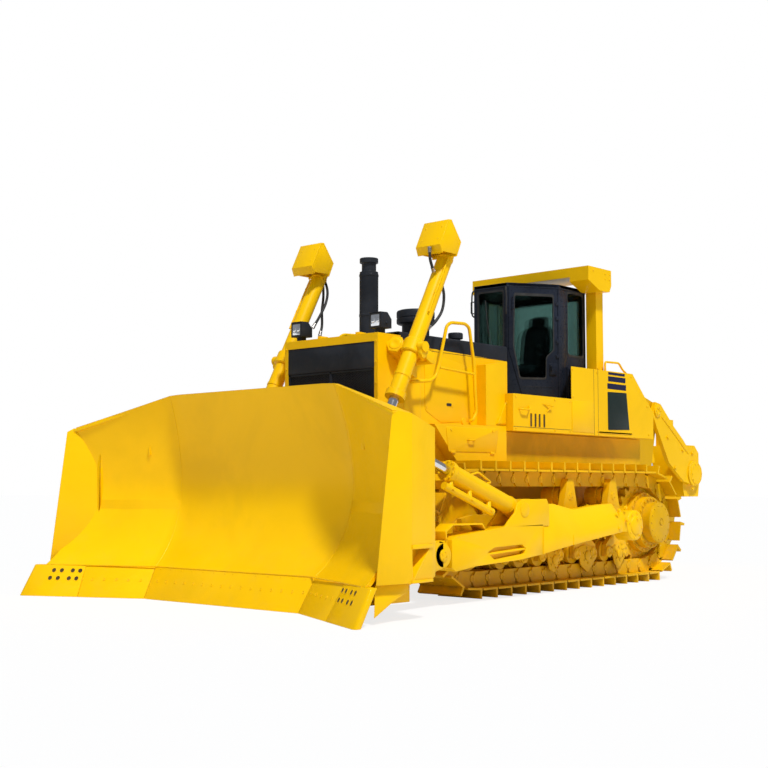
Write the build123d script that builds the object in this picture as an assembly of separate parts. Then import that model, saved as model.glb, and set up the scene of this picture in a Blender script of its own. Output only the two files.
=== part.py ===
from build123d import *
import math
import os

# All sizes are in millimetres. X runs forward towards the blade, Y to the machine's left and Z up.
# Positions are first laid out from the sprocket axle (x = 0), the centre plane (y = 0) and the
# ground (z = 0). BOX_MID_X then moves the whole machine so that its box is centred on the origin.

# ---- running clearances ----
PIN_CLEARANCE = 0.5          # radial gap of a pin in its hole
SIDE_CLEARANCE = 8.0         # gap between a turning piece's face and its bracket
ROD_CLEARANCE = 1.0          # radial gap of a rod in its barrel

# ---- track ----
GAUGE = 2500.0
SHOE_WIDTH = 610.0
PITCH = 280.0
LINK_COUNT = 41
PIN_HEIGHT = 213.0           # from the grouser's tip to the pin line
LINK_OUT = 95.0              # from the pin line to the shoe's underside
SHOE_THICK = 25.0
GROUSER_THICK = 32.0
RAIL_IN = 80.0               # from the pin line to the rollers' tread
RAIL_INNER = 62.0            # rail's near face from the track's centre plane
RAIL_OUTER = 130.0
SHOE_LENGTH = 262.0
LINK_LENGTH = 268.0
SPROCKET_TEETH = 25
SPROCKET_PITCH_R = PITCH / (2 * math.sin(math.radians(360.0 / SPROCKET_TEETH)))
IDLER_X = 3980.0
IDLER_PITCH_R = 557.0
AXLE_Z = PIN_HEIGHT + SPROCKET_PITCH_R
IDLER_Z = PIN_HEIGHT + IDLER_PITCH_R
TRACK_Y = GAUGE / 2
RAIL_TOP = PIN_HEIGHT + RAIL_IN      # height of the rollers' tread on the lower run

# ---- wheels on the track ----
SPROCKET_THICK = 96.0
SPROCKET_BORE_R = 330.0
IDLER_R = IDLER_PITCH_R - RAIL_IN - 1.0
IDLER_FLANGE_R = IDLER_R + 32.0
ROLLER_R = 128.0
ROLLER_FLANGE_R = 152.0
ROLLER_X = [660, 1036, 1412, 1788, 2164, 2540, 2916, 3292]
CARRIER_R = 118.0
CARRIER_X = [990, 1983]
CARRIER_Z = 1133.0

# ---- hull ----
HULL_HALF = 470.0
HULL_REAR = -1000.0
HULL_FRONT = 4330.0
HULL_BOTTOM = 610.0
HULL_TOP = 1500.0
CASE_TOP = 1930.0            # top of the steering case at the rear
PIVOT_SHAFT_X = 1141.0
PIVOT_SHAFT_Z = 767.0
PIVOT_SHAFT_R = 105.0
EQUALIZER_X = 2950.0
EQUALIZER_HALF = 130.0
EQUALIZER_Z = [640.0, 830.0]
TOW_EYE = (4850.0, 1000.0)
TOW_EYE_R = 90.0
TOW_EYE_HALF = 40.0
TOW_HOLE_R = 45.0

# ---- blade ----
EDGE_X = 6403.0
CENTRE_HALF = 1221.0         # half width of the straight middle at the cutting edge
TIP_X = 7103.0
TIP_Y = 2637.0
BLADE_FACE = [(-15, 150), (-187, 348), (-330, 480), (-442, 606), (-530, 790), (-592, 1004), (-622, 1190),
              (-632, 1358), (-622, 1510), (-590, 1662), (-529, 1915), (-455, 2120), (-390, 2285)]
SKIN = 45.0
WING_ANGLE = math.degrees(math.atan2(TIP_X - EDGE_X, TIP_Y - CENTRE_HALF))
WING_TOP_Z = 1860.0          # the wings' top edge falls to this height at the ends
BLADE_PIN = (5000.0, 535.0)

# ---- push arms ----
ARM_Y = 1790.0
ARM_HALF = 130.0
TRUNNION = (1141.0, 767.0)

# ---- lift cylinders ----
LIFT_Y = 1032.0
LIFT_TOP = (3814.0, 3989.0)
LIFT_LOW = (4757.0, 2217.0)
LIFT_YOKE_Z = 2800.0
LIFT_EYE_Z = 950.0
LIFT_BARREL_R = 92.0
LIFT_ROD_R = 55.0
LIFT_PIN_R = 60.0
EYE_RELIEF = 280.0           # room for the rod's eye as the blade moves

# ---- tilt cylinders ----
TILT_Y = ARM_Y
TILT_REAR = (3560.0, 991.0)
TILT_FRONT = (5850.0, 1780.0)
TILT_FLANGE_X = 4787.0
TILT_BARREL_R = 98.0
TILT_ROD_R = 52.0
TILT_PIN_R = 45.0

# ---- ripper ----
RIPPER_TOP_PIN = (-1720.0, 2401.0)
RIPPER_LOW_PIN = (-1500.0, 1500.0)
RIPPER_LINK = (-1060.0, -876.0)      # from the front pins to the beam's pins
RIPPER_CYL_PIN = (-1560.0, 2480.0)
RIPPER_CYL_SHARE = 0.55              # place of the rods' pin along the lower arm
RIPPER_OUT = 620.0
RIPPER_CYL_Y = 400.0
RIPPER_PIN_R = 60.0
RIPPER_REAR = -3230.0

BOX_MID_X = (TIP_X + RIPPER_REAR) / 2


def box(x0, x1, y0, y1, z0, z1):
    """Block between two opposite corners."""
    centre = ((x0 + x1) / 2, (y0 + y1) / 2, (z0 + z1) / 2)
    return Pos(*centre) * Box(abs(x1 - x0), abs(y1 - y0), abs(z1 - z0))


def outline(points):
    """Flat face from a closed outline, turned to face along its plane's normal."""
    area = sum(a[0] * b[1] - b[0] * a[1] for a, b in zip(points, points[1:] + points[:1]))
    return Polygon(*(points if area > 0 else points[::-1]), align=None)


def prism_y(points, y0, y1):
    """Outline in X and Z, pulled along Y from y0 to y1."""
    plane = Plane((0, y1, 0), x_dir=(1, 0, 0), z_dir=(0, -1, 0))
    return extrude(plane * outline(points), y1 - y0)


def prism_x(points, x0, x1):
    """Outline in Y and Z, pulled along X from x0 to x1."""
    plane = Plane((x0, 0, 0), x_dir=(0, 1, 0), z_dir=(1, 0, 0))
    return extrude(plane * outline(points), x1 - x0)


def prism_z(points, z0, z1):
    """Outline in X and Y, pulled up from z0 to z1."""
    plane = Plane((0, 0, z0), x_dir=(1, 0, 0), z_dir=(0, 0, 1))
    return extrude(plane * outline(points), z1 - z0)


def rod(start, end, radius):
    """Round bar between two points."""
    start, end = Vector(*start), Vector(*end)
    axis = end - start
    plane = Plane(origin=start, z_dir=axis.normalized())
    return extrude(plane * Circle(radius), axis.length)


def bar_y(x, z, y0, y1, radius):
    """Round bar along Y."""
    return rod((x, min(y0, y1), z), (x, max(y0, y1), z), radius)


def merge(*pieces):
    """Fuse pieces into one solid."""
    first, *rest = pieces
    return first.fuse(*rest) if rest else first


def mirror_y(shape):
    """The same piece on the machine's other side."""
    return mirror(shape, about=Plane.XZ)


def pair(shape):
    """A left piece and its right twin as two solids of one node."""
    return group([shape, mirror_y(shape)])


def group(pieces):
    """Several separate solids in one node."""
    solids = [solid for piece in pieces for solid in piece.solids()]
    return Compound(children=solids)


def pipe(points, radius, bend):
    """Round rail along a polyline with rounded bends."""
    path = FilletPolyline(*points, radius=bend)
    start = Plane(origin=path @ 0, z_dir=path % 0)
    return sweep(start * Circle(radius), path=path)


def along(start, end, distance):
    """Point of an X-Z line at a distance from its start."""
    length = math.dist(start, end)
    return tuple(a + (b - a) * distance / length for a, b in zip(start, end))


def at_y(point, y):
    """Put an X-Z point at a given Y."""
    return (point[0], y, point[1])


# ---------------------------------------------------------------- track

def track_path():
    """Arc length, position and tangent angle round the pin line; starts below the sprocket, runs rearwards."""
    wrap_rear = math.pi * SPROCKET_PITCH_R
    wrap_front = math.pi * IDLER_PITCH_R
    top_rise = 2 * (SPROCKET_PITCH_R - IDLER_PITCH_R)
    top = math.hypot(IDLER_X, top_rise)
    total = IDLER_X + wrap_rear + top + wrap_front

    def place(s):
        s = (s % 1.0) * total
        if s < wrap_rear:
            a = -math.pi / 2 - s / SPROCKET_PITCH_R
            return SPROCKET_PITCH_R * math.cos(a), AXLE_Z + SPROCKET_PITCH_R * math.sin(a)
        s -= wrap_rear
        if s < top:
            t = s / top
            return IDLER_X * t, AXLE_Z + SPROCKET_PITCH_R - top_rise * t
        s -= top
        if s < wrap_front:
            a = math.pi / 2 - s / IDLER_PITCH_R
            return IDLER_X + IDLER_PITCH_R * math.cos(a), IDLER_Z + IDLER_PITCH_R * math.sin(a)
        s -= wrap_front
        return IDLER_X - s, PIN_HEIGHT
    return place


def track():
    """Loop of links and single-grouser shoes, fixed in its parked place."""
    place = track_path()
    pins = [place((k + 0.25) / LINK_COUNT) for k in range(LINK_COUNT)]
    shoe_y = (TRACK_Y - SHOE_WIDTH / 2, TRACK_Y + SHOE_WIDTH / 2)
    plate_top = LINK_OUT + SHOE_THICK
    shoe = [(-SHOE_LENGTH / 2, LINK_OUT), (SHOE_LENGTH / 2, LINK_OUT), (SHOE_LENGTH / 2, PIN_HEIGHT),
            (SHOE_LENGTH / 2 - GROUSER_THICK, PIN_HEIGHT), (SHOE_LENGTH / 2 - GROUSER_THICK, plate_top),
            (-SHOE_LENGTH / 2, plate_top)]
    outer, inner = [], []
    pieces = []
    for k, (x0, z0) in enumerate(pins):
        x1, z1 = pins[(k + 1) % LINK_COUNT]
        ux, uz = (x1 - x0) / math.dist((x0, z0), (x1, z1)), (z1 - z0) / math.dist((x0, z0), (x1, z1))
        nx, nz = uz * -1, ux
        mx, mz = (x0 + x1) / 2, (z0 + z1) / 2
        pieces.append(prism_y([(mx + u * ux + v * nx, mz + u * uz + v * nz) for u, v in shoe], *shoe_y))
        outer.append((mx + (LINK_OUT + 1) * nx, mz + (LINK_OUT + 1) * nz))
        inner.append((mx - RAIL_IN * nx, mz - RAIL_IN * nz))
    rails = []
    for side in (-1, 1):
        y0, y1 = sorted((TRACK_Y + side * RAIL_INNER, TRACK_Y + side * RAIL_OUTER))
        rails.append(prism_y(outer, y0, y1) - prism_y(inner, y0 - 1, y1 + 1))
    wheel_room = bar_y(IDLER_X, IDLER_Z, TRACK_Y - RAIL_OUTER - 1, TRACK_Y + RAIL_OUTER + 1, IDLER_R + 1)
    return merge(rails[0] - wheel_room, rails[1] - wheel_room, *pieces)


def sprocket():
    """Toothed ring between the rails."""
    points = []
    root, tip = SPROCKET_PITCH_R - 52, SPROCKET_PITCH_R + 20
    step = 2 * math.pi / SPROCKET_TEETH
    for k in range(SPROCKET_TEETH):
        for share, radius in ((-0.32, root), (-0.10, tip), (0.10, tip), (0.32, root)):
            a = (k + 0.5 + share) * step
            points.append((radius * math.cos(a), AXLE_Z + radius * math.sin(a)))
    y0, y1 = TRACK_Y - SPROCKET_THICK / 2, TRACK_Y + SPROCKET_THICK / 2
    return prism_y(points, y0, y1) - bar_y(0, AXLE_Z, y0 - 1, y1 + 1, SPROCKET_BORE_R)


def final_drive():
    """Case inside the track, hub through the sprocket and bolted outer cover."""
    inner_face, outer_face = TRACK_Y - SPROCKET_THICK / 2, TRACK_Y + SPROCKET_THICK / 2
    pieces = [bar_y(0, AXLE_Z, HULL_HALF, 900, 300), bar_y(0, AXLE_Z, 900, inner_face, 420),
              bar_y(0, AXLE_Z, inner_face - 20, outer_face + 20, SPROCKET_BORE_R - 2),
              bar_y(0, AXLE_Z, outer_face, 1370, 400), bar_y(0, AXLE_Z, 1370, 1470, 345),
              bar_y(0, AXLE_Z, 1470, 1598, 272)]
    return merge(*pieces)


def idler():
    """Front wheel with two treads and a middle flange."""
    half = RAIL_OUTER - 4
    wheel = merge(bar_y(IDLER_X, IDLER_Z, TRACK_Y - half, TRACK_Y + half, IDLER_R),
                  bar_y(IDLER_X, IDLER_Z, TRACK_Y - 54, TRACK_Y + 54, IDLER_FLANGE_R))
    for side in (-1, 1):
        dish = bar_y(IDLER_X, IDLER_Z, TRACK_Y + side * 70, TRACK_Y + side * (half + 1), IDLER_R - 75)
        hub = bar_y(IDLER_X, IDLER_Z, TRACK_Y + side * 60, TRACK_Y + side * half, 120)
        wheel = wheel - dish
        wheel = merge(wheel, hub)
    return wheel


def roller(x, z, radius, flange):
    """Track roller with two treads and outer flanges."""
    half = RAIL_OUTER
    pieces = [bar_y(x, z, TRACK_Y - half + 6, TRACK_Y + half - 6, radius),
              bar_y(x, z, TRACK_Y - RAIL_INNER + 6, TRACK_Y + RAIL_INNER - 6, flange)]
    return merge(*pieces)


def track_rollers():
    """Lower rollers of both sides."""
    z = RAIL_TOP + ROLLER_R + 1
    return group([s for x in ROLLER_X for s in (roller(x, z, ROLLER_R, ROLLER_FLANGE_R),
                                                mirror_y(roller(x, z, ROLLER_R, ROLLER_FLANGE_R)))])


def carrier_rollers():
    """Upper rollers that hold the return run."""
    pieces = [roller(x, CARRIER_Z, CARRIER_R, CARRIER_R + 22) for x in CARRIER_X]
    return group(pieces + [mirror_y(p) for p in pieces])


def bogies():
    """Rocking brackets that hold the lower rollers in twos."""
    pieces = []
    z = RAIL_TOP + ROLLER_R + 1
    for a, b in zip(ROLLER_X[::2], ROLLER_X[1::2]):
        mid = (a + b) / 2
        side_view = [(a - 70, z - 60), (a + 60, z - 60), (mid, z + 40), (b - 60, z - 60), (b + 70, z - 60),
                   (b + 60, z + 90), (mid + 80, z + 230), (mid - 80, z + 230), (a - 60, z + 90)]
        for side in (-1, 1):
            y = sorted((TRACK_Y + side * RAIL_OUTER, TRACK_Y + side * (RAIL_OUTER + 60)))
            pieces.append(prism_y(side_view, *y))
    return group(pieces + [mirror_y(p) for p in pieces])


def track_frame():
    """Long beam between the rails with idler fork, roller guards, pedestals and the push arm's trunnion."""
    z0 = RAIL_TOP + 2 * ROLLER_R + 30
    beam = box(520 + 160, 3330, TRACK_Y - 200, TRACK_Y + 200, z0 + 90, z0 + 350)
    fork = []
    for side in (-1, 1):
        y = sorted((TRACK_Y + side * (RAIL_OUTER + 8), TRACK_Y + side * 200))
        fork.append(prism_y([(3200, z0 + 60), (3900, z0 + 60), (IDLER_X + 130, IDLER_Z - 120),
                             (IDLER_X + 130, IDLER_Z + 120), (3900, IDLER_Z + 160), (3200, z0 + 350)], *y))
    pedestals = []
    for x in CARRIER_X:
        pedestals.append(prism_y([(x - 170, z0 + 340), (x + 170, z0 + 340), (x + 75, CARRIER_Z + 170),
                                  (x + 45, CARRIER_Z + 215), (x - 45, CARRIER_Z + 215), (x - 75, CARRIER_Z + 170)],
                                 TRACK_Y + RAIL_OUTER + 20, TRACK_Y + RAIL_OUTER + 110))
        pedestals.append(bar_y(x, CARRIER_Z, TRACK_Y + RAIL_OUTER - 6, TRACK_Y + RAIL_OUTER + 40, 70))
    step = box(700, 2300, TRACK_Y + 190, TRACK_Y + 250, z0 + 200, z0 + 350)
    stub = bar_y(TRUNNION[0], TRUNNION[1], TRACK_Y + 150, ARM_Y + 60, 95)
    block = box(TRUNNION[0] - 190, TRUNNION[0] + 190, TRACK_Y + 150, TRACK_Y + 300, TRUNNION[1] - 60, TRUNNION[1] + 240)
    saddle = box(EQUALIZER_X - 200, EQUALIZER_X + 200, TRACK_Y - 260, TRACK_Y - 190, z0 + 90, z0 + 350)
    return merge(beam, *fork, *pedestals, step, stub, block, saddle)


# ---------------------------------------------------------------- hull

def main_frame():
    """Hull with belly, steering case, pivot shaft, platform supports and ripper brackets."""
    side = [(HULL_REAR, 900), (-700, HULL_BOTTOM), (3700, HULL_BOTTOM), (HULL_FRONT + 250, 900),
            (HULL_FRONT + 250, HULL_TOP - 300), (HULL_FRONT - 100, HULL_TOP), (HULL_REAR, HULL_TOP)]
    hull = prism_y(side, -HULL_HALF, HULL_HALF)
    notch = box(EQUALIZER_X - EQUALIZER_HALF - 5, EQUALIZER_X + EQUALIZER_HALF + 5, -HULL_HALF - 1, HULL_HALF + 1,
                HULL_BOTTOM - 1, EQUALIZER_Z[1])
    hull = hull - notch
    rear_case = box(HULL_REAR, 700, -HULL_HALF, HULL_HALF, HULL_TOP - 1, CASE_TOP)
    shaft = bar_y(PIVOT_SHAFT_X, PIVOT_SHAFT_Z, -TRACK_Y + 200, TRACK_Y - 200, PIVOT_SHAFT_R)
    x, z = TOW_EYE
    low, high = (x, 0, z - TOW_EYE_HALF), (x, 0, z + TOW_EYE_HALF)
    tow_eye = merge(box(HULL_FRONT + 200, x, -TOW_EYE_R, TOW_EYE_R, low[2], high[2]), rod(low, high, TOW_EYE_R))
    return merge(hull, rear_case, shaft, tow_eye) - rod(low, high, TOW_HOLE_R)


def platform_supports():
    """Walls and shelf on the hull that carry the deck and the tank."""
    walls = [box(-850, 2500, s * 800 - 25, s * 800 + 25, HULL_TOP, DECK_BOTTOM - 6) for s in (-1, 1)]
    cross = [box(x - 25, x + 25, -825, 825, HULL_TOP - 60, DECK_BOTTOM - 6) for x in (-800, 2475)]
    shelf = box(-850, 2500, -825, 825, HULL_TOP - 50, HULL_TOP)
    return merge(*walls, *cross, shelf) - main_frame()


def ripper_brackets():
    """Plates on the hull's rear that hold the ripper's pins."""
    top, low, cyl = RIPPER_TOP_PIN, RIPPER_LOW_PIN, RIPPER_CYL_PIN
    upper = [(HULL_REAR, CASE_TOP), (HULL_REAR, 1250), (low[0] - 20, low[1] - 140), (low[0] - 140, low[1] + 20),
             (top[0] - 140, top[1] - 40), (top[0] - 90, top[1] + 110), (cyl[0] + 60, cyl[1] + 120),
             (cyl[0] + 160, cyl[1] - 40)]
    plates = []
    for y0, y1 in ((RIPPER_CYL_Y - 125, RIPPER_CYL_Y - 90), (RIPPER_CYL_Y + 90, RIPPER_CYL_Y + 145)):
        plate = prism_y(upper, y0, y1)
        for pin in (top, low, cyl):
            plate = plate - bar_y(pin[0], pin[1], y0 - 1, y1 + 1, RIPPER_PIN_R + PIN_CLEARANCE)
        plates += [plate, mirror_y(plate)]
    bridge = box(HULL_REAR - 250, HULL_REAR, -RIPPER_CYL_Y - 145, RIPPER_CYL_Y + 145, 1300, CASE_TOP - 30)
    return merge(bridge, *plates)


def equalizer_bar():
    """Cross bar that lets the track frames rock."""
    x, half = EQUALIZER_X, EQUALIZER_HALF
    end = TRACK_Y - 262
    return prism_x([(-end, 700), (-end, 800), (-HULL_HALF, EQUALIZER_Z[1]), (HULL_HALF, EQUALIZER_Z[1]), (end, 800),
                    (end, 700), (HULL_HALF, EQUALIZER_Z[0]), (-HULL_HALF, EQUALIZER_Z[0])], x - half, x + half)


RAD_FRONT = 4723.0
RAD_REAR = HULL_FRONT
RAD_HALF = 751.0
RAD_TOP = 2976.0
RAD_BASE = HULL_TOP
HOOD_HALF = 740.0
HOOD_REAR = 2258.0
ENGINE_BOX = [2510.0, 4150.0, -420.0, 420.0, 1505.0, 2650.0]


def radiator_guard():
    """Thick frame round the grille at the front."""
    body = box(RAD_REAR, RAD_FRONT, -RAD_HALF, RAD_HALF, 1100, RAD_TOP)
    core = box(RAD_REAR - 1, RAD_FRONT + 1, -RAD_HALF + 52, RAD_HALF - 52, HULL_TOP, RAD_TOP - 96)
    hull = box(RAD_REAR - 1, HULL_FRONT + 251, -HULL_HALF, HULL_HALF, 1099, HULL_TOP + 1)
    return body - core - hull


def grille():
    """Header panel and louvred mesh panel in the guard's opening."""
    half = RAD_HALF - 52
    panel = box(RAD_FRONT - 60, RAD_FRONT - 30, -half, half, HULL_TOP, RAD_TOP - 96)
    header = box(RAD_FRONT - 32, RAD_FRONT - 6, -half, half, RAD_TOP - 400, RAD_TOP - 96)
    return merge(panel, header)


def under_hood():
    """All the room up to the hood's top face."""
    return prism_y([(HOOD_REAR, 2600), (HOOD_REAR, 2970), (RAD_REAR, 3021), (RAD_REAR, 2600)], -HOOD_HALF, HOOD_HALF)


def hood_top():
    """Dark sheet cover over the engine."""
    side = [(HOOD_REAR, 2835), (HOOD_REAR, 2970), (RAD_REAR, 3021), (RAD_REAR, 2886)]
    shell = prism_y(side, -HOOD_HALF, HOOD_HALF)
    hollow = prism_y([(HOOD_REAR + 12, 2834), (HOOD_REAR + 12, 2950), (RAD_REAR + 1, 3001), (RAD_REAR + 1, 2840)],
                     -HOOD_HALF + 15, HOOD_HALF - 15)
    return shell - hollow


def hood_panels():
    """Side doors of the engine bay, one each side."""
    front = DECK_FRONT + 10
    side = [(HOOD_REAR, DECK_TOP + 5), (HOOD_REAR, 2834), (RAD_REAR, 2885), (RAD_REAR, 1500), (front, 1500),
            (front, DECK_TOP + 5)]
    return pair(prism_y(side, HOOD_HALF - 20, HOOD_HALF))


def side_boxes():
    """Service boxes between the hood and the tracks."""
    low = prism_y([(2500, 1520), (3464, 1520), (3908, 1972), (2500, 2000)], HOOD_HALF, 900)
    cowl = prism_y([(2500, 2001), (2890, 1994), (2890, 2740), (2500, 2800)], HOOD_HALF, 880)
    return pair(merge(low, cowl))


def engine():
    """Engine as one plain block at its real place and size."""
    return box(*ENGINE_BOX)


EXHAUST = (3968.0, -77.0)


def exhaust_stack():
    """Upright pipe with collar and mouth ring."""
    x, y = EXHAUST
    pieces = [rod((x, y, 2980), (x, y, 3850), 125), rod((x, y, 3850), (x, y, 3960), 98),
              rod((x, y, 3960), (x, y, 4019), 125)]
    return merge(*pieces) - rod((x, y, 3300), (x, y, 4020), 84) - under_hood()


def air_cleaner():
    """Dark drum for the engine's air on the hood and a small filler cap."""
    drum = rod((3350, -330, 3330), (3350, -330, 3560), 190)
    neck = rod((3350, -330, 2950), (3350, -330, 3335), 90)
    cap = rod((2750, 150, 2950), (2750, 150, 3060), 110)
    return group([merge(drum, neck) - under_hood(), cap - under_hood()])


LAMP_X = 4560.0


def work_lamps():
    """Lamp heads on the guard's top corners."""
    pieces = []
    for y in (-640, 640):
        pieces.append(merge(box(LAMP_X - 90, LAMP_X + 90, y - 150, y + 150, RAD_TOP + 60, RAD_TOP + 220),
                            box(LAMP_X - 40, LAMP_X + 40, y - 40, y + 40, RAD_TOP, RAD_TOP + 70)))
    return group(pieces)


# ---------------------------------------------------------------- cab and rear

DECK_TOP = 2405.0
DECK_BOTTOM = 1941.0
DECK_HALF = 1000.0
DECK_FRONT = 2495.0
CAB_FRONT = (1614.0, 280.0)
CAB_SIDE = (1018.0, 675.0)
CAB_REAR = 345.0
CAB_ROOF = 3985.0
WALL = 45.0
HINGE_R = 18.0
HINGE_Z = [2560.0, 3120.0, 3700.0]


def deck():
    """Floor under the cab with its side skirts."""
    slab = box(1192, DECK_FRONT, -DECK_HALF, DECK_HALF, DECK_BOTTOM, DECK_TOP)
    inner = box(-400, 1192, -760, 760, DECK_BOTTOM, DECK_TOP)
    return merge(slab, inner)


def fuel_tank():
    """Tank behind the cab with a side console on each side."""
    side = [(-929, DECK_BOTTOM), (1191, DECK_BOTTOM), (1191, 2837), (-373, 2846), (-810, 2436), (-942, 2331)]
    body = prism_y(side, -DECK_HALF, DECK_HALF)
    hollow = box(-401, 1192, -761, 761, DECK_BOTTOM - 1, DECK_TOP + 1)
    cab_bay = box(90, 1192, -761, 761, DECK_TOP, 2850)
    notch = prism_z([(1192, DECK_HALF + 1), (745, 700), (745, 640), (1192, 640)], DECK_TOP, 2850)
    return body - hollow - cab_bay - notch - mirror_y(notch)


def cab_outline(inset):
    """Six-sided plan of the cab, moved inwards by an inset."""
    fx, fy = CAB_FRONT
    sx, sy = CAB_SIDE
    run = math.atan2(sy - fy, fx - sx)
    grow = math.tan(run / 2) * inset
    front = (fx - inset, fy - inset * math.tan((math.pi / 2 - run) / 2))
    side = (sx - grow, sy - inset)
    return [front, side, (CAB_REAR + inset, sy - inset), (CAB_REAR + inset, -sy + inset), (side[0], -side[1]),
            (front[0], -front[1])]


def slanted_panel(along0, along1, z0, z1, depth0, depth1):
    """Block on the left door plane: distances along it from the front corner, heights and depths inwards."""
    fx, fy = CAB_FRONT
    sx, sy = CAB_SIDE
    length = math.hypot(fx - sx, sy - fy)
    ux, uy = (sx - fx) / length, (sy - fy) / length
    nx, ny = uy, -ux
    points = []
    for a, d in ((along0, depth0), (along1, depth0), (along1, depth1), (along0, depth1)):
        points.append((fx + a * ux - d * nx, fy + a * uy - d * ny))
    return prism_z(points, z0, z1)


DOOR_SPAN = math.hypot(CAB_FRONT[0] - CAB_SIDE[0], CAB_SIDE[1] - CAB_FRONT[1])


def cab_frame():
    """Hollow cab with roof, floor, posts and window openings."""
    shell = prism_z(cab_outline(0), DECK_TOP, CAB_ROOF)
    room = prism_z(cab_outline(WALL), DECK_TOP + 40, CAB_ROOF - 70)
    front = box(CAB_FRONT[0] - WALL - 60, CAB_FRONT[0] + 5, -CAB_FRONT[1] + 70, CAB_FRONT[1] - 70, 2990, 3880)
    sides = [box(CAB_REAR + 90, CAB_SIDE[0] - 150, s * (CAB_SIDE[1] - WALL - 30), s * (CAB_SIDE[1] + 5), 2960, 3860)
             for s in (-1, 1)]
    rear = box(CAB_REAR - 5, CAB_REAR + WALL + 30, -CAB_SIDE[1] + 110, CAB_SIDE[1] - 110, 2990, 3860)
    doorway = slanted_panel(55, DOOR_SPAN - 45, DECK_TOP + 35, 3900, -5, WALL + 45)
    return shell - room - front - sides[0] - sides[1] - rear - doorway - mirror_y(doorway)


def cab_glass():
    """Fixed panes of the front, side and rear windows."""
    pieces = [box(CAB_FRONT[0] - 30, CAB_FRONT[0] - 22, -CAB_FRONT[1] + 70, CAB_FRONT[1] - 70, 2990, 3880),
              box(CAB_REAR + 22, CAB_REAR + 30, -CAB_SIDE[1] + 110, CAB_SIDE[1] - 110, 2990, 3860)]
    for s in (-1, 1):
        y0, y1 = sorted((s * (CAB_SIDE[1] - 30), s * (CAB_SIDE[1] - 22)))
        pieces.append(box(CAB_REAR + 90, CAB_SIDE[0] - 150, y0, y1, 2960, 3860))
    return group(pieces)


def cab_door():
    """Left door leaf with its window opening."""
    leaf = slanted_panel(61, DOOR_SPAN - 51, DECK_TOP + 41, 3894, 6, 40)
    window = slanted_panel(120, DOOR_SPAN - 150, 2760, 3830, 0, 45)
    x, y = door_hinge()
    knuckles = []
    for z in HINGE_Z:
        strap = slanted_panel(DOOR_SPAN - 120, DOOR_SPAN - 52, z, z + 90, -22, 10)
        link = slanted_panel(DOOR_SPAN - 121, DOOR_SPAN - 30, z, z + 90, -22, -5)
        knuckles.append(merge(strap, link, rod((x, y, z), (x, y, z + 90), HINGE_R)))
    return merge(leaf - window, *knuckles)


def door_hinge():
    """Upright axis of the left door's hinge in X and Y."""
    fx, fy = CAB_FRONT
    sx, sy = CAB_SIDE
    share = (DOOR_SPAN - 30) / DOOR_SPAN
    out = HINGE_R + 5
    ux, uy = (sx - fx) / DOOR_SPAN, (sy - fy) / DOOR_SPAN
    return fx + (sx - fx) * share + out * uy, fy + (sy - fy) * share - out * ux


def door_glass():
    """Pane of the left door."""
    return slanted_panel(120, DOOR_SPAN - 150, 2760, 3830, 18, 26)


def operator_seat():
    """Seat, console and levers inside the cab."""
    seat = merge(box(560, 1060, -260, 260, DECK_TOP + 40, 2780), box(560, 1060, -270, 270, 2780, 2900),
                 prism_y([(520, 2780), (640, 2780), (560, 3560), (430, 3560)], -260, 260))
    console = box(1300, 1480, -200, 200, DECK_TOP + 40, 3000)
    return group([seat, console])


def rops():
    """Roll-over frame: two posts behind the cab and a cross beam over it."""
    posts = box(145, 325, 690, 850, 2845, 4120)
    slab = box(143, 727, -840, 840, 4119, 4251)
    cheek = prism_y([(143, 4035), (190, 3945), (284, 3941), (447, 3941), (727, 4056), (727, 4251), (143, 4251)], 690, 991)
    return merge(slab, posts, cheek, mirror_y(posts), mirror_y(cheek))


def handrails():
    """Grab rails beside the hood."""
    y = 880
    rail = [(3013, y, 2040), (3057, y, 2784), (3143, y, 3144), (3241, y, 3232), (3511, y, 3240), (3616, y, 3157),
            (3720, y, 2791), (3700, y, 2604), (3869, y, 2462), (4140, y, 2421), (4140, HOOD_HALF, 2421)]
    return pair(pipe([(3013, HOOD_HALF, 2040)] + rail, 20, 45))


def lift_yokes():
    """Forks on the guard's sides that carry the lift cylinders."""
    x, z = lift_yoke_pin()
    ear_hole = bar_y(x, z, RAD_HALF - 10, LIFT_Y + 300, LIFT_PIN_R + PIN_CLEARANCE)
    inner = box(x - 130, x + 210, RAD_HALF, LIFT_Y - LIFT_BARREL_R - 28, z - 110, z + 140)
    outer = box(x - 110, x + 210, LIFT_Y + LIFT_BARREL_R + 28, LIFT_Y + LIFT_BARREL_R + 110, z - 90, z + 140)
    front = box(x + 135, x + 210, RAD_HALF, LIFT_Y + LIFT_BARREL_R + 110, z + 50, z + 140)
    return pair(merge(inner, outer, front) - ear_hole)


def lift_yoke_pin():
    """Centre of the cylinder's swing in X and Z."""
    share = (LIFT_TOP[1] - LIFT_YOKE_Z) / (LIFT_TOP[1] - LIFT_LOW[1])
    return LIFT_TOP[0] + share * (LIFT_LOW[0] - LIFT_TOP[0]), LIFT_YOKE_Z


def lift_eye():
    """Pin of the lift rods on the blade in X and Z."""
    share = (LIFT_TOP[1] - LIFT_EYE_Z) / (LIFT_TOP[1] - LIFT_LOW[1])
    return LIFT_TOP[0] + share * (LIFT_LOW[0] - LIFT_TOP[0]), LIFT_EYE_Z


LIFT_COVER = [(4140, 3905), (4179, 4000), (4023, 4312), (3965, 4318), (3788, 4079), (3869, 3900), (3885, 3907),
              (3810, 4079), (3970, 4296), (4014, 4292), (4156, 4000), (4122, 3912)]


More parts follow.
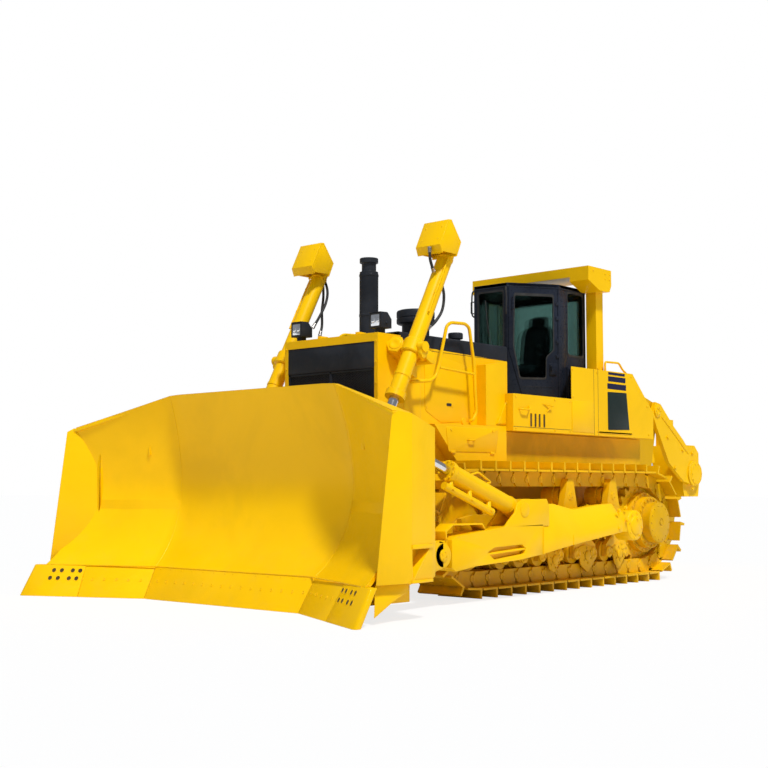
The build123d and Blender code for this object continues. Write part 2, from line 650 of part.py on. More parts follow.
def lift_cylinder():
    """Left barrel with trunnion pins and lower flange."""
    y = LIFT_Y
    top, low = at_y(LIFT_TOP, y), at_y(LIFT_LOW, y)
    x, z = lift_yoke_pin()
    flange = at_y(along(LIFT_LOW, LIFT_TOP, 70), y)
    bore_top = at_y(along(LIFT_TOP, LIFT_LOW, 60), y)
    below = at_y(along(LIFT_TOP, LIFT_LOW, math.dist(LIFT_TOP, LIFT_LOW) + 5), y)
    barrel = merge(rod(top, low, LIFT_BARREL_R), rod(flange, low, LIFT_BARREL_R + 22),
                   bar_y(x, z, y - LIFT_BARREL_R - 120, y + LIFT_BARREL_R + 100, LIFT_PIN_R))
    return barrel - rod(bore_top, below, LIFT_ROD_R + ROD_CLEARANCE)


def lift_covers():
    """Bent guards over the lift cylinders' heads."""
    y = LIFT_Y
    cover = prism_y(LIFT_COVER, y - 182, y + 182)
    bracket = box(3800, 4150, y - 40, y + 40, 3935, 3990)
    return pair(merge(cover, bracket) - lift_cylinder())


def lift_rods():
    """Chrome rods with the eye at the blade."""
    y = LIFT_Y
    eye = lift_eye()
    length = math.dist(LIFT_TOP, eye)
    start = at_y(along(LIFT_TOP, eye, 1350), y)
    end = at_y(along(LIFT_TOP, eye, length - 80), y)
    head = bar_y(eye[0], eye[1], y - 57, y + 57, 105)
    return pair(merge(rod(start, end, LIFT_ROD_R), head))


# ---------------------------------------------------------------- push arms and blade

def push_arms():
    """Box arms from the trunnions to the blade, with the tilt cylinder's hump."""
    y0, y1 = ARM_Y - ARM_HALF, ARM_Y + ARM_HALF
    side = [(1480, 656), (3497, 450), (4790, 355), (4860, 400), (4860, 690), (4790, 718), (3624, 808), (1480, 1025)]
    body = prism_y(side, y0, y1)
    tongue = merge(box(4780, BLADE_PIN[0], y0 + 60, y1 - 60, 385, 685), bar_y(*BLADE_PIN, y0 + 60, y1 - 60, 150))
    socket = merge(bar_y(*TRUNNION, ARM_Y - 115, ARM_Y + 115, 190), box(TRUNNION[0], 1500, ARM_Y - 100, ARM_Y + 100, 690, 940))
    hump = [(3100, 840), (3300, 1000), (3440, 1105), (3650, 1105), (3760, 1010), (3900, 800), (3700, 700), (3200, 740)]
    plates = [prism_y(hump, y0, y0 + 28), prism_y(hump, y1 - 28, y1)]
    arm = merge(body, tongue, socket, *plates)
    arm = arm - bar_y(*BLADE_PIN, y0, y1, 70 + PIN_CLEARANCE)
    arm = arm - bar_y(*TRUNNION, ARM_Y - 116, ARM_Y + 75, 95 + PIN_CLEARANCE)
    arm = arm - bar_y(*TILT_REAR, y0 - 1, y1 + 1, TILT_PIN_R + PIN_CLEARANCE)
    return pair(arm)


def wing_axes():
    """Unit vectors of the left wing: along it and forward across it."""
    a = math.radians(WING_ANGLE)
    return (math.sin(a), math.cos(a)), (math.cos(a), -math.sin(a))


def sweep_blade(section):
    """Run an X-Z section (depth, height) along the middle and both wings with mitred corners."""
    plane = Plane((EDGE_X, 0, 0), x_dir=(1, 0, 0), z_dir=(0, -1, 0))
    face = outline(section)
    middle = extrude(plane * face, 1700, both=True)
    (lx, ly), (fx, fy) = wing_axes()
    wing_plane = Plane((EDGE_X, CENTRE_HALF, 0), x_dir=(fx, fy, 0), z_dir=(-lx, -ly, 0))
    wing = extrude(wing_plane * face, 3000, both=True)
    half = math.radians(WING_ANGLE / 2)
    keep_mid = prism_z([(EDGE_X + math.cos(half) * 2500, CENTRE_HALF - math.sin(half) * 2500),
                        (EDGE_X - math.cos(half) * 2500, CENTRE_HALF + math.sin(half) * 2500),
                        (EDGE_X - math.cos(half) * 2500 - 1, 0 - 4000), (EDGE_X + math.cos(half) * 2500, -4000)], -10, 2400)
    mid_left = middle & keep_mid
    middle = mid_left & mirror_y(keep_mid)
    keep_wing = prism_z([(EDGE_X + math.cos(half) * 2500, CENTRE_HALF - math.sin(half) * 2500),
                         (EDGE_X - math.cos(half) * 2500, CENTRE_HALF + math.sin(half) * 2500),
                         (EDGE_X - math.cos(half) * 2500, TIP_Y), (EDGE_X + math.cos(half) * 2500, TIP_Y)], -10, 2400)
    wing = wing & keep_wing
    return middle, wing


def blade_runs(sections):
    """Sections run along the middle and the left wing, whose top slopes down to the tip."""
    slope = (WING_TOP_Z - 2285) / (TIP_Y - 1313)
    cut = prism_x([(1313, 2285), (TIP_Y + 1, 2285 + slope * (TIP_Y - 1313)), (TIP_Y + 1, 2500), (1313, 2500)], 5000, 7200)
    runs = [sweep_blade(section) for section in sections]
    return merge(*[middle for middle, _ in runs]), merge(*[wing - cut for _, wing in runs])


def moldboard():
    """Curved plate of the blade with its two wings."""
    middle, wing = blade_runs([BLADE_FACE + [(t - SKIN, z) for t, z in reversed(BLADE_FACE)]])
    return merge(middle, wing, mirror_y(wing))


def blade_ends():
    """Side plates at the blade's tips."""
    end = prism_y([(6880, 377), (6640, 690), (6540, 1100), (6530, 1400), (6632, WING_TOP_Z), (5960, 1965), (5960, 700),
                   (6000, 350)], TIP_Y - 42, TIP_Y - 2)
    return group([end, mirror_y(end)])


def blade_beams():
    """Box beams behind the moldboard: the middle's run and the left wing's."""
    low_box = [(-150, 150), (-500, 700), (-560, 800), (-860, 760), (-860, 150)]
    high_box = [(-600, 1700), (-560, 1950), (-800, 1900), (-800, 1650)]
    mid_box = [(-560, 790), (-640, 1200), (-630, 1700), (-700, 1700), (-700, 790)]
    return blade_runs([low_box, high_box, mid_box])


def blade_frame():
    """Middle beams with the ears of the lift cylinders' pins."""
    body = blade_beams()[0]
    ex, ez = lift_eye()
    ears = []
    for y0 in (LIFT_Y - 110, LIFT_Y + 65):
        ears.append(prism_y([(ex - 90, ez - 60), (5700, 780), (5760, 1150), (ex - 20, ez + 110), (ex - 90, ez + 60)], y0, y0 + 45))
    relief = bar_y(ex, ez, LIFT_Y - 65, LIFT_Y + 65, EYE_RELIEF)
    body = body - relief - mirror_y(relief)
    return merge(body, *ears, *[mirror_y(ear) for ear in ears]) - moldboard()


def wing_frames():
    """Beams of the wings with the ears of the push arms' and tilt cylinders' pins."""
    body = blade_beams()[1]
    x, z = BLADE_PIN
    ears = [bar_y(x, z, ARM_Y - ARM_HALF, ARM_Y + ARM_HALF, 70)]
    for y0 in (ARM_Y - ARM_HALF, ARM_Y + ARM_HALF - 50):
        web = prism_y([(x, z - 125), (5900, 160), (5900, 780), (x, z + 125)], y0, y0 + 50)
        ears += [web, bar_y(x, z, y0, y0 + 50, 125)]
    tx, tz = TILT_FRONT
    for y0 in (TILT_Y - 105, TILT_Y + 65):
        ears.append(prism_y([(tx - 70, tz - 60), (6000, 1600), (6000, 1950), (tx - 10, tz + 90), (tx - 70, tz + 50)], y0, y0 + 40))
    slot = bar_y(tx, tz, TILT_Y - 65, TILT_Y + 65, 130)
    return pair(merge(body - slot, *ears) - moldboard() - blade_ends() - blade_frame())


def cutting_edge():
    """Wear edges along the blade's bottom."""
    middle, wing = sweep_blade([(0, 0), (-35, 0), (-50, 149), (-15, 149)])
    return group([middle, wing, mirror_y(wing)])


def tilt_line(distance):
    """Point on the tilt cylinder's axis."""
    return at_y(along(TILT_REAR, TILT_FRONT, distance), TILT_Y)


def tilt_cylinders():
    """Barrels over the push arms with the guard tube below."""
    run = math.dist(TILT_REAR, TILT_FRONT)
    share = (TILT_FLANGE_X - TILT_REAR[0]) / (TILT_FRONT[0] - TILT_REAR[0])
    end = run * share
    barrel = merge(rod(tilt_line(90), tilt_line(end), TILT_BARREL_R), rod(tilt_line(end - 60), tilt_line(end), TILT_BARREL_R + 18),
                   bar_y(*TILT_REAR, TILT_Y - 85, TILT_Y + 85, 100), rod(tilt_line(0), tilt_line(120), 75))
    barrel = barrel - rod(tilt_line(170), tilt_line(end + 1), TILT_ROD_R + ROD_CLEARANCE)
    pin = bar_y(*TILT_REAR, TILT_Y - ARM_HALF + 1, TILT_Y + ARM_HALF - 1, TILT_PIN_R)
    return pair(merge(barrel, pin))


def tilt_rods():
    """Chrome rods with the eye at the blade's back."""
    run = math.dist(TILT_REAR, TILT_FRONT)
    head = bar_y(*TILT_FRONT, TILT_Y - 57, TILT_Y + 57, 85)
    return pair(merge(rod(tilt_line(900), tilt_line(run - 50), TILT_ROD_R), head))


# ---------------------------------------------------------------- ripper

def ripper_end(front):
    """Rear pin of a ripper link whose front pin is given."""
    return front[0] + RIPPER_LINK[0], front[1] + RIPPER_LINK[1]


def ripper_links():
    """Wide upper link plates with their pins, one each side."""
    top, end = RIPPER_TOP_PIN, ripper_end(RIPPER_TOP_PIN)
    side_view = [(top[0] + 130, top[1] - 60), (top[0] + 40, top[1] + 135), (top[0] - 110, top[1] + 110),
               (-2217, 2192), (-2505, 1995), (-2690, 1840), (-2930, 1700), (-2980, 1500), (-2900, 1340),
               (-2760, 1300), (-2500, 1350), (-2065, 1620), (-1700, 2160)]
    plate = prism_y(side_view, RIPPER_OUT - 60, RIPPER_OUT)
    pins = [bar_y(top[0], top[1], RIPPER_CYL_Y + 91, RIPPER_OUT - 1, RIPPER_PIN_R)]
    cap = bar_y(end[0] - 60, end[1] - 50, RIPPER_OUT - 1, RIPPER_OUT + 20, 200)
    hole = bar_y(end[0], end[1], RIPPER_OUT - 61, RIPPER_OUT - 30, RIPPER_PIN_R + PIN_CLEARANCE)
    return pair(merge(plate, cap, *pins) - hole)


def ripper_arm():
    """Lower lifting frame between the bracket and the beam."""
    low, end = RIPPER_LOW_PIN, ripper_end(RIPPER_LOW_PIN)
    ux, uz = (c / math.hypot(*RIPPER_LINK) for c in RIPPER_LINK)
    nx, nz = -uz, ux
    half = 105
    side = [(low[0] + half * nx, low[1] + half * nz), (end[0] + half * nx, end[1] + half * nz),
            (end[0] - half * nx, end[1] - half * nz), (low[0] - half * nx, low[1] - half * nz)]
    bars = []
    for y0, y1 in ((150, 265), (-265, -150)):
        bars.append(merge(prism_y(side, y0, y1), bar_y(*low, y0, y1, 130), bar_y(*end, y0, y1, 130)))
    cx, cz = low[0] + RIPPER_CYL_SHARE * RIPPER_LINK[0], low[1] + RIPPER_CYL_SHARE * RIPPER_LINK[1]
    cross = bar_y(cx, cz, -RIPPER_CYL_Y + 55, RIPPER_CYL_Y - 55, 85)
    low_pin = bar_y(*low, -RIPPER_CYL_Y - 140, RIPPER_CYL_Y + 140, RIPPER_PIN_R)
    hole = bar_y(*end, -266, 266, RIPPER_PIN_R + PIN_CLEARANCE)
    return merge(*bars, cross, low_pin) - hole


def ripper_beam():
    """Cross beam with the shank's pocket."""
    top, low = ripper_end(RIPPER_TOP_PIN), ripper_end(RIPPER_LOW_PIN)
    half = RIPPER_OUT - 60 - SIDE_CLEARANCE
    body = prism_y([(-2640, 1110), (-3090, 1110), (-3130, 1300), (-3130, 1800), (-3000, 1915), (-2700, 1915), (-2600, 1700),
                    (-2600, 1250)], -half, half)
    pin = bar_y(*top, -RIPPER_OUT + 31, RIPPER_OUT - 31, RIPPER_PIN_R)
    tongue = merge(prism_y([(-2700, 1300), (-2420, 640), (-2560, 480), (-2720, 600), (-3000, 1120), (-3000, 1300)], -140, 140),
                   bar_y(*low, -142, 142, 130))
    low_pin = bar_y(*low, -264, 264, RIPPER_PIN_R)
    pocket = box(-3232, -2868, -62, 62, 400, 2000)
    housing = box(-3180, -2840, -130, 130, 1111, 1914)
    return merge(body, pin, tongue, low_pin, housing) - pocket


def ripper_shank():
    """Long shank with its point, held in the beam's pocket."""
    shank = prism_y([(-3230, 2350), (-2870, 2350), (-2870, 700), (-2760, 330), (-2640, 60), (-2700, 40), (-2880, 150),
                     (-3120, 420), (-3230, 800)], -60, 60)
    return shank


def ripper_rod_pin():
    """Pin of the ripper's lift rods on the lower arm."""
    return (RIPPER_LOW_PIN[0] + RIPPER_CYL_SHARE * RIPPER_LINK[0], RIPPER_LOW_PIN[1] + RIPPER_CYL_SHARE * RIPPER_LINK[1])


def ripper_cylinders():
    """Lift barrels under the bracket's top pins."""
    y, top, end = RIPPER_CYL_Y, RIPPER_CYL_PIN, ripper_rod_pin()
    barrel = merge(rod(at_y(along(top, end, 30), y), at_y(along(top, end, 900), y), 80),
                   bar_y(top[0], top[1], y - 80, y + 80, 90))
    barrel = barrel - rod(at_y(along(top, end, 150), y), at_y(along(top, end, 901), y), 46)
    pin = bar_y(top[0], top[1], y - 124, y + 144, RIPPER_PIN_R)
    return pair(merge(barrel, pin))


def ripper_rods():
    """Rods of the ripper's lift cylinders."""
    y, top, end = RIPPER_CYL_Y, RIPPER_CYL_PIN, ripper_rod_pin()
    length = math.dist(top, end)
    head = bar_y(end[0], end[1], y - 45, y + 45, 90)
    return pair(merge(rod(at_y(along(top, end, 700), y), at_y(along(top, end, length - 70), y), 45), head))


def parts():
    """Every node's name and shape, laid out from the sprocket axle."""
    left_track, left_frame, left_door, left_pane = track(), track_frame(), cab_door(), door_glass()
    return {
        "main_frame": main_frame(),
        "platform_supports": platform_supports(),
        "ripper_brackets": ripper_brackets(),
        "equalizer_bar": equalizer_bar(),
        "final_drives": pair(final_drive()),
        "sprockets": pair(sprocket()),
        "idlers": pair(idler()),
        "track_rollers": track_rollers(),
        "carrier_rollers": carrier_rollers(),
        "bogies": bogies(),
        "track_frame_left": left_frame,
        "track_frame_right": mirror_y(left_frame),
        "track_left": left_track,
        "track_right": mirror_y(left_track),
        "radiator_guard": radiator_guard(),
        "grille": grille(),
        "hood_top": hood_top(),
        "hood_panels": hood_panels(),
        "side_boxes": side_boxes(),
        "engine": engine(),
        "exhaust_stack": exhaust_stack(),
        "air_cleaner": air_cleaner(),
        "work_lamps": work_lamps(),
        "deck": deck(),
        "fuel_tank": fuel_tank(),
        "cab_frame": cab_frame(),
        "cab_glass": cab_glass(),
        "cab_door_left": left_door,
        "cab_door_right": mirror_y(left_door),
        "door_glass_left": left_pane,
        "door_glass_right": mirror_y(left_pane),
        "operator_seat": operator_seat(),
        "rops": rops(),
        "handrails": handrails(),
        "lift_yokes": lift_yokes(),
        "lift_cylinders": pair(lift_cylinder()),
        "lift_covers": lift_covers(),
        "lift_rods": lift_rods(),
        "push_arms": push_arms(),
        "moldboard": moldboard() - blade_ends(),
        "blade_ends": blade_ends(),
        "blade_frame": blade_frame(),
        "wing_frames": wing_frames(),
        "cutting_edge": cutting_edge(),
        "tilt_cylinders": tilt_cylinders(),
        "tilt_rods": tilt_rods(),
        "ripper_links": ripper_links(),
        "ripper_arm": ripper_arm(),
        "ripper_beam": ripper_beam(),
        "ripper_shank": ripper_shank(),
        "ripper_cylinders": ripper_cylinders(),
        "ripper_rods": ripper_rods(),
    }


def centred(shape):
    """The node's solids, moved so that the machine's box is centred on the origin."""
    moved = [Pos(-BOX_MID_X, 0, 0) * solid for solid in shape.solids()]
    return moved[0] if len(moved) == 1 else Compound(children=moved)


def main():
    """Write one file for each node."""
    os.makedirs("parts", exist_ok=True)
    for name, shape in parts().items():
        export_step(centred(shape), f"parts/{name}.step")


if __name__ == "__main__":
    main()
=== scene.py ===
"""Heavy crawler bulldozer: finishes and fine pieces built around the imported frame."""
import logging
import math
from dataclasses import dataclass
from enum import Enum
from typing import Sequence

import bmesh
import bpy
import numpy as np
from mathutils import Matrix, Vector


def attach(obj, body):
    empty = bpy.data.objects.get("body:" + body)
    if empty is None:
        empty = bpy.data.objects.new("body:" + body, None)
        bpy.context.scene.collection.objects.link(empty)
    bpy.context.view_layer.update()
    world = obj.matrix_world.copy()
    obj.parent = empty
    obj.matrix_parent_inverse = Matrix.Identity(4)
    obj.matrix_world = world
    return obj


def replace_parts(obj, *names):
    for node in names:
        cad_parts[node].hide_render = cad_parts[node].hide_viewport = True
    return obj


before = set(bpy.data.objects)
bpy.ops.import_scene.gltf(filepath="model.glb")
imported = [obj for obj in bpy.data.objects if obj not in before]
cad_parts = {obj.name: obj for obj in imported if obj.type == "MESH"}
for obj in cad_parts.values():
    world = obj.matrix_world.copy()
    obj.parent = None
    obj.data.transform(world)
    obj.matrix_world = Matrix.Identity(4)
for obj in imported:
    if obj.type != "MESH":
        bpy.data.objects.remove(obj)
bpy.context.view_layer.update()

LOG = logging.getLogger("bulldozer")
MID_X = 1.9365                 # from the sprocket axle to the middle of the machine's box, in metres
ARM_Y = 1790.0                 # from the centre plane to a push arm's middle, from here on in millimetres
ARM_HALF = 130.0               # half a push arm's width
BLADE_PIN = (5000.0, 535.0)    # X and Z of the push arms' pins on the blade
TILT_REAR = (3560.0, 991.0)    # X and Z of the tilt cylinders' pins on the push arms
TILT_FRONT = (5850.0, 1780.0)  # X and Z of the tilt cylinders' pins on the blade
AHEAD = (1, 0, 0)
LEFT = (0, 1, 0)
UP = (0, 0, 1)
MIRROR = np.array((1, -1, 1))  # turns a left piece into a right one


def mm(x: float, y: float, z: float) -> np.ndarray:
    """Give a point in millimetres from the sprocket's axle, the centre plane and the ground in metres."""
    return np.array([x / 1000.0 - MID_X, y / 1000.0, z / 1000.0])


class Colour(Enum):
    """Linear colours of the machine's finishes."""

    YELLOW = (0.95, 0.555, 0.0)
    TRACK_YELLOW = (0.82, 0.46, 0.0)
    DUST = (0.42, 0.28, 0.12)
    # Dark brown painted into corners and creases as shade, in soil-like patches.
    SHADE_AND_SOIL = (0.10, 0.055, 0.022)
    CAB = (0.014, 0.019, 0.032)
    CHARCOAL = (0.022, 0.026, 0.034)
    NAVY = (0.012, 0.014, 0.05)
    PANEL = (0.016, 0.028, 0.026)
    RUBBER = (0.012, 0.012, 0.012)
    STEEL = (0.42, 0.40, 0.38)
    CHROME = (0.72, 0.73, 0.75)
    SEAT = (0.03, 0.033, 0.04)
    # Near-black brown for painted shade inside holes and slots.
    HOLE_SHADE = (0.05, 0.028, 0.004)
    # Dark brown for panel joints, and for a painted shadow line under the hood sheet's side edges.
    SEAM_AND_SHADOW = (0.09, 0.05, 0.004)
    GLASS = (0.40, 0.52, 0.50)
    LENS = (0.86, 0.88, 0.90)
    FLOOR = (0.86, 0.86, 0.86)


class Nodes:
    """Small helper that adds and links shader nodes in one material."""

    def __init__(self, name: str) -> None:
        """Start an empty material.

        Args:
            name: The material's name.
        """
        self.material = bpy.data.materials.new(name)
        self.material.use_nodes = True
        self.tree = self.material.node_tree
        self.tree.nodes.clear()
        self.out = self.add("ShaderNodeOutputMaterial")
        self.coords = self.add("ShaderNodeTexCoord").outputs["Object"]

    def add(self, kind: str, **settings: object) -> bpy.types.Node:
        """Add a node and set its fields.

        Args:
            kind: The node's type name.
            **settings: Attributes to set on the node.

        Returns:
            The new node.
        """
        node = self.tree.nodes.new(kind)
        for key, value in settings.items():
            setattr(node, key, value)
        return node

    def link(self, source: bpy.types.NodeSocket, target: bpy.types.NodeSocket) -> None:
        """Join an output to an input."""
        self.tree.links.new(source, target)

    def noise(self, scale: float, detail: float = 4.0, roughness: float = 0.55,
              distortion: float = 0.0) -> bpy.types.NodeSocket:
        """Noise in object space.

        Args:
            scale: Noise scale per metre.
            detail: Number of octaves.
            roughness: Weight of the fine octaves.
            distortion: Swirl of the pattern.

        Returns:
            The noise factor's socket.
        """
        node = self.add("ShaderNodeTexNoise")
        node.inputs["Scale"].default_value = scale
        node.inputs["Detail"].default_value = detail
        node.inputs["Roughness"].default_value = roughness
        node.inputs["Distortion"].default_value = distortion
        self.link(self.coords, node.inputs["Vector"])
        return node.outputs["Fac"]

    def ramp(self, factor: bpy.types.NodeSocket, low: float, high: float, bottom: float = 0.0,
             top: float = 1.0) -> bpy.types.NodeSocket:
        """Map a factor's stretch between two limits smoothly onto another stretch.

        Args:
            factor: The socket to map.
            low: Factor that gives the bottom value.
            high: Factor that gives the top value.
            bottom: Value at or under the low limit.
            top: Value at or over the high limit.

        Returns:
            The mapped socket.
        """
        node = self.add("ShaderNodeMapRange", interpolation_type="SMOOTHSTEP")
        node.inputs["From Min"].default_value = low
        node.inputs["From Max"].default_value = high
        node.inputs["To Min"].default_value = bottom
        node.inputs["To Max"].default_value = top
        self.link(factor, node.inputs["Value"])
        return node.outputs["Result"]

    def math(self, operation: str, a: bpy.types.NodeSocket,
             b: bpy.types.NodeSocket | float) -> bpy.types.NodeSocket:
        """Combine two values with one operation.

        Args:
            operation: The operation's name.
            a: First value's socket.
            b: Second value, a socket or a number.

        Returns:
            The result's socket.
        """
        node = self.add("ShaderNodeMath", operation=operation)
        self.link(a, node.inputs[0])
        if isinstance(b, (int, float)):
            node.inputs[1].default_value = b
        else:
            self.link(b, node.inputs[1])
        return node.outputs[0]

    def mix(self, factor: bpy.types.NodeSocket, a: object, b: object) -> bpy.types.NodeSocket:
        """Mix two colours by a factor.

        Args:
            factor: Share of the second colour.
            a: First colour, a socket or an RGB triple.
            b: Second colour, a socket or an RGB triple.

        Returns:
            The mixed colour's socket.
        """
        node = self.add("ShaderNodeMix", data_type="RGBA")
        self.link(factor, node.inputs[0])
        for socket, value in ((node.inputs[6], a), (node.inputs[7], b)):
            if isinstance(value, bpy.types.NodeSocket):
                self.link(value, socket)
            else:
                socket.default_value = (*value, 1.0)
        return node.outputs[2]

    def bump(self, height: bpy.types.NodeSocket, distance: float, strength: float,
             normal: bpy.types.NodeSocket | None = None) -> bpy.types.NodeSocket:
        """Bump from a height.

        Args:
            height: The height's socket.
            distance: Height of the bump in metres.
            strength: Strength of the effect.
            normal: Normal to start from.

        Returns:
            The bumped normal's socket.
        """
        node = self.add("ShaderNodeBump")
        node.inputs["Distance"].default_value = distance
        node.inputs["Strength"].default_value = strength
        self.link(height, node.inputs["Height"])
        if normal is not None:
            self.link(normal, node.inputs["Normal"])
        return node.outputs["Normal"]


@dataclass(frozen=True)
class Paint:
    """Sprayed paint: tone drift, dust that settles low, painted shade with soil-coloured patches in corners,
    worn edges, orange peel.
    """

    name: str
    colour: Colour
    roughness: float = 0.34
    coat: float = 0.02
    drift: float = 0.08
    dust: float = 0.10
    # Strength of the painted shade in corners, laid on as soil-coloured patches.
    shade_and_soil: float = 0.25
    wear: float = 0.15
    edge: float = 0.006
    peel: float = 0.0004
    specular: float = 0.13

    def material(self) -> bpy.types.Material:
        """Build the finish.

        Returns:
            The finished material.
        """
        n = Nodes(self.name)
        shader = n.add("ShaderNodeBsdfPrincipled")
        tone = self.drifted(n)
        dust = self.settled_dust(n)
        tone = n.mix(dust, tone, Colour.DUST.value)
        # Painted shade: corners that the occlusion test finds are darkened towards dark brown.
        tone = n.mix(n.math("MULTIPLY", self.corner_shade_and_soil(n), self.shade_and_soil), tone, Colour.SHADE_AND_SOIL.value)
        bevel = n.add("ShaderNodeBevel", samples=4)
        bevel.inputs["Radius"].default_value = self.edge
        rubbed = self.rubbed_edges(n, bevel.outputs[0])
        n.link(n.mix(rubbed, tone, Colour.STEEL.value), shader.inputs["Base Color"])
        rough = n.ramp(n.noise(30.0, 6.0, 0.7), 0.3, 0.75, self.roughness - 0.06, self.roughness + 0.10)
        n.link(n.math("ADD", rough, n.math("MULTIPLY", dust, 0.35)), shader.inputs["Roughness"])
        n.link(rubbed, shader.inputs["Metallic"])
        shader.inputs["Specular IOR Level"].default_value = self.specular
        shader.inputs["Coat Weight"].default_value = self.coat
        shader.inputs["Coat Roughness"].default_value = 0.12
        skin = n.bump(n.noise(260.0, 3.0, 0.5), self.peel, 0.35, bevel.outputs[0])
        skin = n.bump(n.noise(2.2, 3.0, 0.5), self.peel * 8, 0.25, skin)
        n.link(skin, shader.inputs["Normal"])
        n.link(shader.outputs[0], n.out.inputs["Surface"])
        return n.material

    def drifted(self, n: Nodes) -> bpy.types.NodeSocket:
        """Paint's colour with broad drift between a lighter and a darker tone, and fine darker specks.

        Args:
            n: Nodes of the finish.

        Returns:
            The colour's socket.
        """
        base = self.colour.value
        darker = tuple(c * (1 - 1.8 * self.drift) for c in base)
        lighter = tuple(min(1.0, c * (1 + self.drift) + 0.01 * self.drift) for c in base)
        tone = n.mix(n.ramp(n.noise(0.9, 5.0, 0.6, 0.4), 0.35, 0.65), darker, lighter)
        return n.mix(n.ramp(n.noise(13.0, 6.0, 0.7), 0.52, 0.78, 0.0, 2.5 * self.drift), tone, darker)

    def settled_dust(self, n: Nodes) -> bpy.types.NodeSocket:
        """Share of dust: patches that thicken towards the ground.

        Args:
            n: Nodes of the finish.

        Returns:
            The share's socket.
        """
        grime = n.ramp(n.noise(5.0, 8.0, 0.7, 0.6), 0.45, 0.75)
        split = n.add("ShaderNodeSeparateXYZ")
        n.link(n.coords, split.inputs[0])
        low = n.ramp(split.outputs["Z"], 1.5, 0.05, 0.12, 1.0)
        return n.math("MULTIPLY", n.math("MULTIPLY", grime, low), self.dust * 3.2)

    def corner_shade_and_soil(self, n: Nodes) -> bpy.types.NodeSocket:
        """Share of painted shade: dark, soil-coloured patches in the corners that little light reaches.

        Args:
            n: Nodes of the finish.

        Returns:
            The share's socket.
        """
        # Occlusion marks the corners where shade falls, and these get painted darker.
        hollow = n.add("ShaderNodeAmbientOcclusion", samples=6, only_local=True)
        hollow.inputs["Distance"].default_value = 0.09
        corner = n.ramp(hollow.outputs["AO"], 0.75, 0.25)
        return n.math("MULTIPLY", corner, n.ramp(n.noise(9.0, 6.0, 0.7), 0.3, 0.6, 0.35, 1.0))

    def rubbed_edges(self, n: Nodes, rounded: bpy.types.NodeSocket) -> bpy.types.NodeSocket:
        """Share of bare steel: patches where the rounded normal turns away from the face's own.

        Args:
            n: Nodes of the finish.
            rounded: Normal of the rounded edges.

        Returns:
            The share's socket.
        """
        geometry = n.add("ShaderNodeNewGeometry")
        turn = n.add("ShaderNodeVectorMath", operation="DOT_PRODUCT")
        n.link(rounded, turn.inputs[0])
        n.link(geometry.outputs["Normal"], turn.inputs[1])
        rim = n.ramp(turn.outputs["Value"], 0.97, 0.86)
        patches = n.math("MULTIPLY", rim, n.ramp(n.noise(21.0, 6.0, 0.75), 0.50, 0.62))
        return n.math("MULTIPLY", patches, self.wear)


@dataclass(frozen=True)
class Metal:
    """Bare or plated metal with fine scratches and a little oil."""

    name: str
    colour: Colour
    roughness: float = 0.12
    scratch: float = 0.00008

    def material(self) -> bpy.types.Material:
        """Build the finish.

        Returns:
            The finished material.
        """
        n = Nodes(self.name)
        shader = n.add("ShaderNodeBsdfPrincipled")
        base = self.colour.value
        dark = tuple(c * 0.72 for c in base)
        n.link(n.mix(n.ramp(n.noise(6.0, 6.0, 0.7), 0.4, 0.7), base, dark), shader.inputs["Base Color"])
        n.link(n.ramp(n.noise(24.0, 5.0, 0.7), 0.3, 0.7, self.roughness * 0.7, self.roughness * 1.8),
               shader.inputs["Roughness"])
        shader.inputs["Metallic"].default_value = 1.0
        n.link(n.bump(n.noise(180.0, 4.0, 0.7), self.scratch, 0.3), shader.inputs["Normal"])
        n.link(shader.outputs[0], n.out.inputs["Surface"])
        return n.material


@dataclass(frozen=True)
class Rubber:
    """Matt rubber, hose or cloth with a fine grain and faded patches."""

    name: str
    colour: Colour
    roughness: float = 0.62
    grain: float = 0.0006

    def material(self) -> bpy.types.Material:
        """Build the finish.

        Returns:
            The finished material.
        """
        n = Nodes(self.name)
        shader = n.add("ShaderNodeBsdfPrincipled")
        base = self.colour.value
        faded = tuple(c * 1.7 + 0.01 for c in base)
        n.link(n.mix(n.ramp(n.noise(7.0, 6.0, 0.7), 0.4, 0.75), base, faded), shader.inputs["Base Color"])
        n.link(n.ramp(n.noise(40.0, 4.0, 0.6), 0.3, 0.7, self.roughness - 0.1, self.roughness + 0.15),
               shader.inputs["Roughness"])
        n.link(n.bump(n.noise(320.0, 3.0, 0.6), self.grain, 0.4), shader.inputs["Normal"])
        n.link(shader.outputs[0], n.out.inputs["Surface"])
        return n.material


@dataclass(frozen=True)
class Glass:
    """Tinted safety glass that mixes a clear sheet with a glossy face."""

    name: str
    colour: Colour
    roughness: float = 0.03
    opacity: float = 0.30

    def material(self) -> bpy.types.Material:
        """Build the finish.

        Returns:
            The finished material.
        """
        n = Nodes(self.name)
        shader = n.add("ShaderNodeBsdfPrincipled")
        tint = self.colour.value
        deep = tuple(c * 0.8 for c in tint)
        n.link(n.mix(n.ramp(n.noise(1.5, 3.0, 0.5), 0.3, 0.7), tint, deep), shader.inputs["Base Color"])
        n.link(n.ramp(n.noise(12.0, 5.0, 0.6), 0.4, 0.8, self.roughness, self.roughness * 3),
               shader.inputs["Roughness"])
        shader.inputs["Transmission Weight"].default_value = 1.0
        shader.inputs["IOR"].default_value = 1.15
        clear = n.add("ShaderNodeBsdfTransparent")
        clear.inputs["Color"].default_value = (*tint, 1.0)
        blend = n.add("ShaderNodeMixShader")
        blend.inputs["Fac"].default_value = self.opacity
        n.link(clear.outputs[0], blend.inputs[1])
        n.link(shader.outputs[0], blend.inputs[2])
        n.link(blend.outputs[0], n.out.inputs["Surface"])
        return n.material


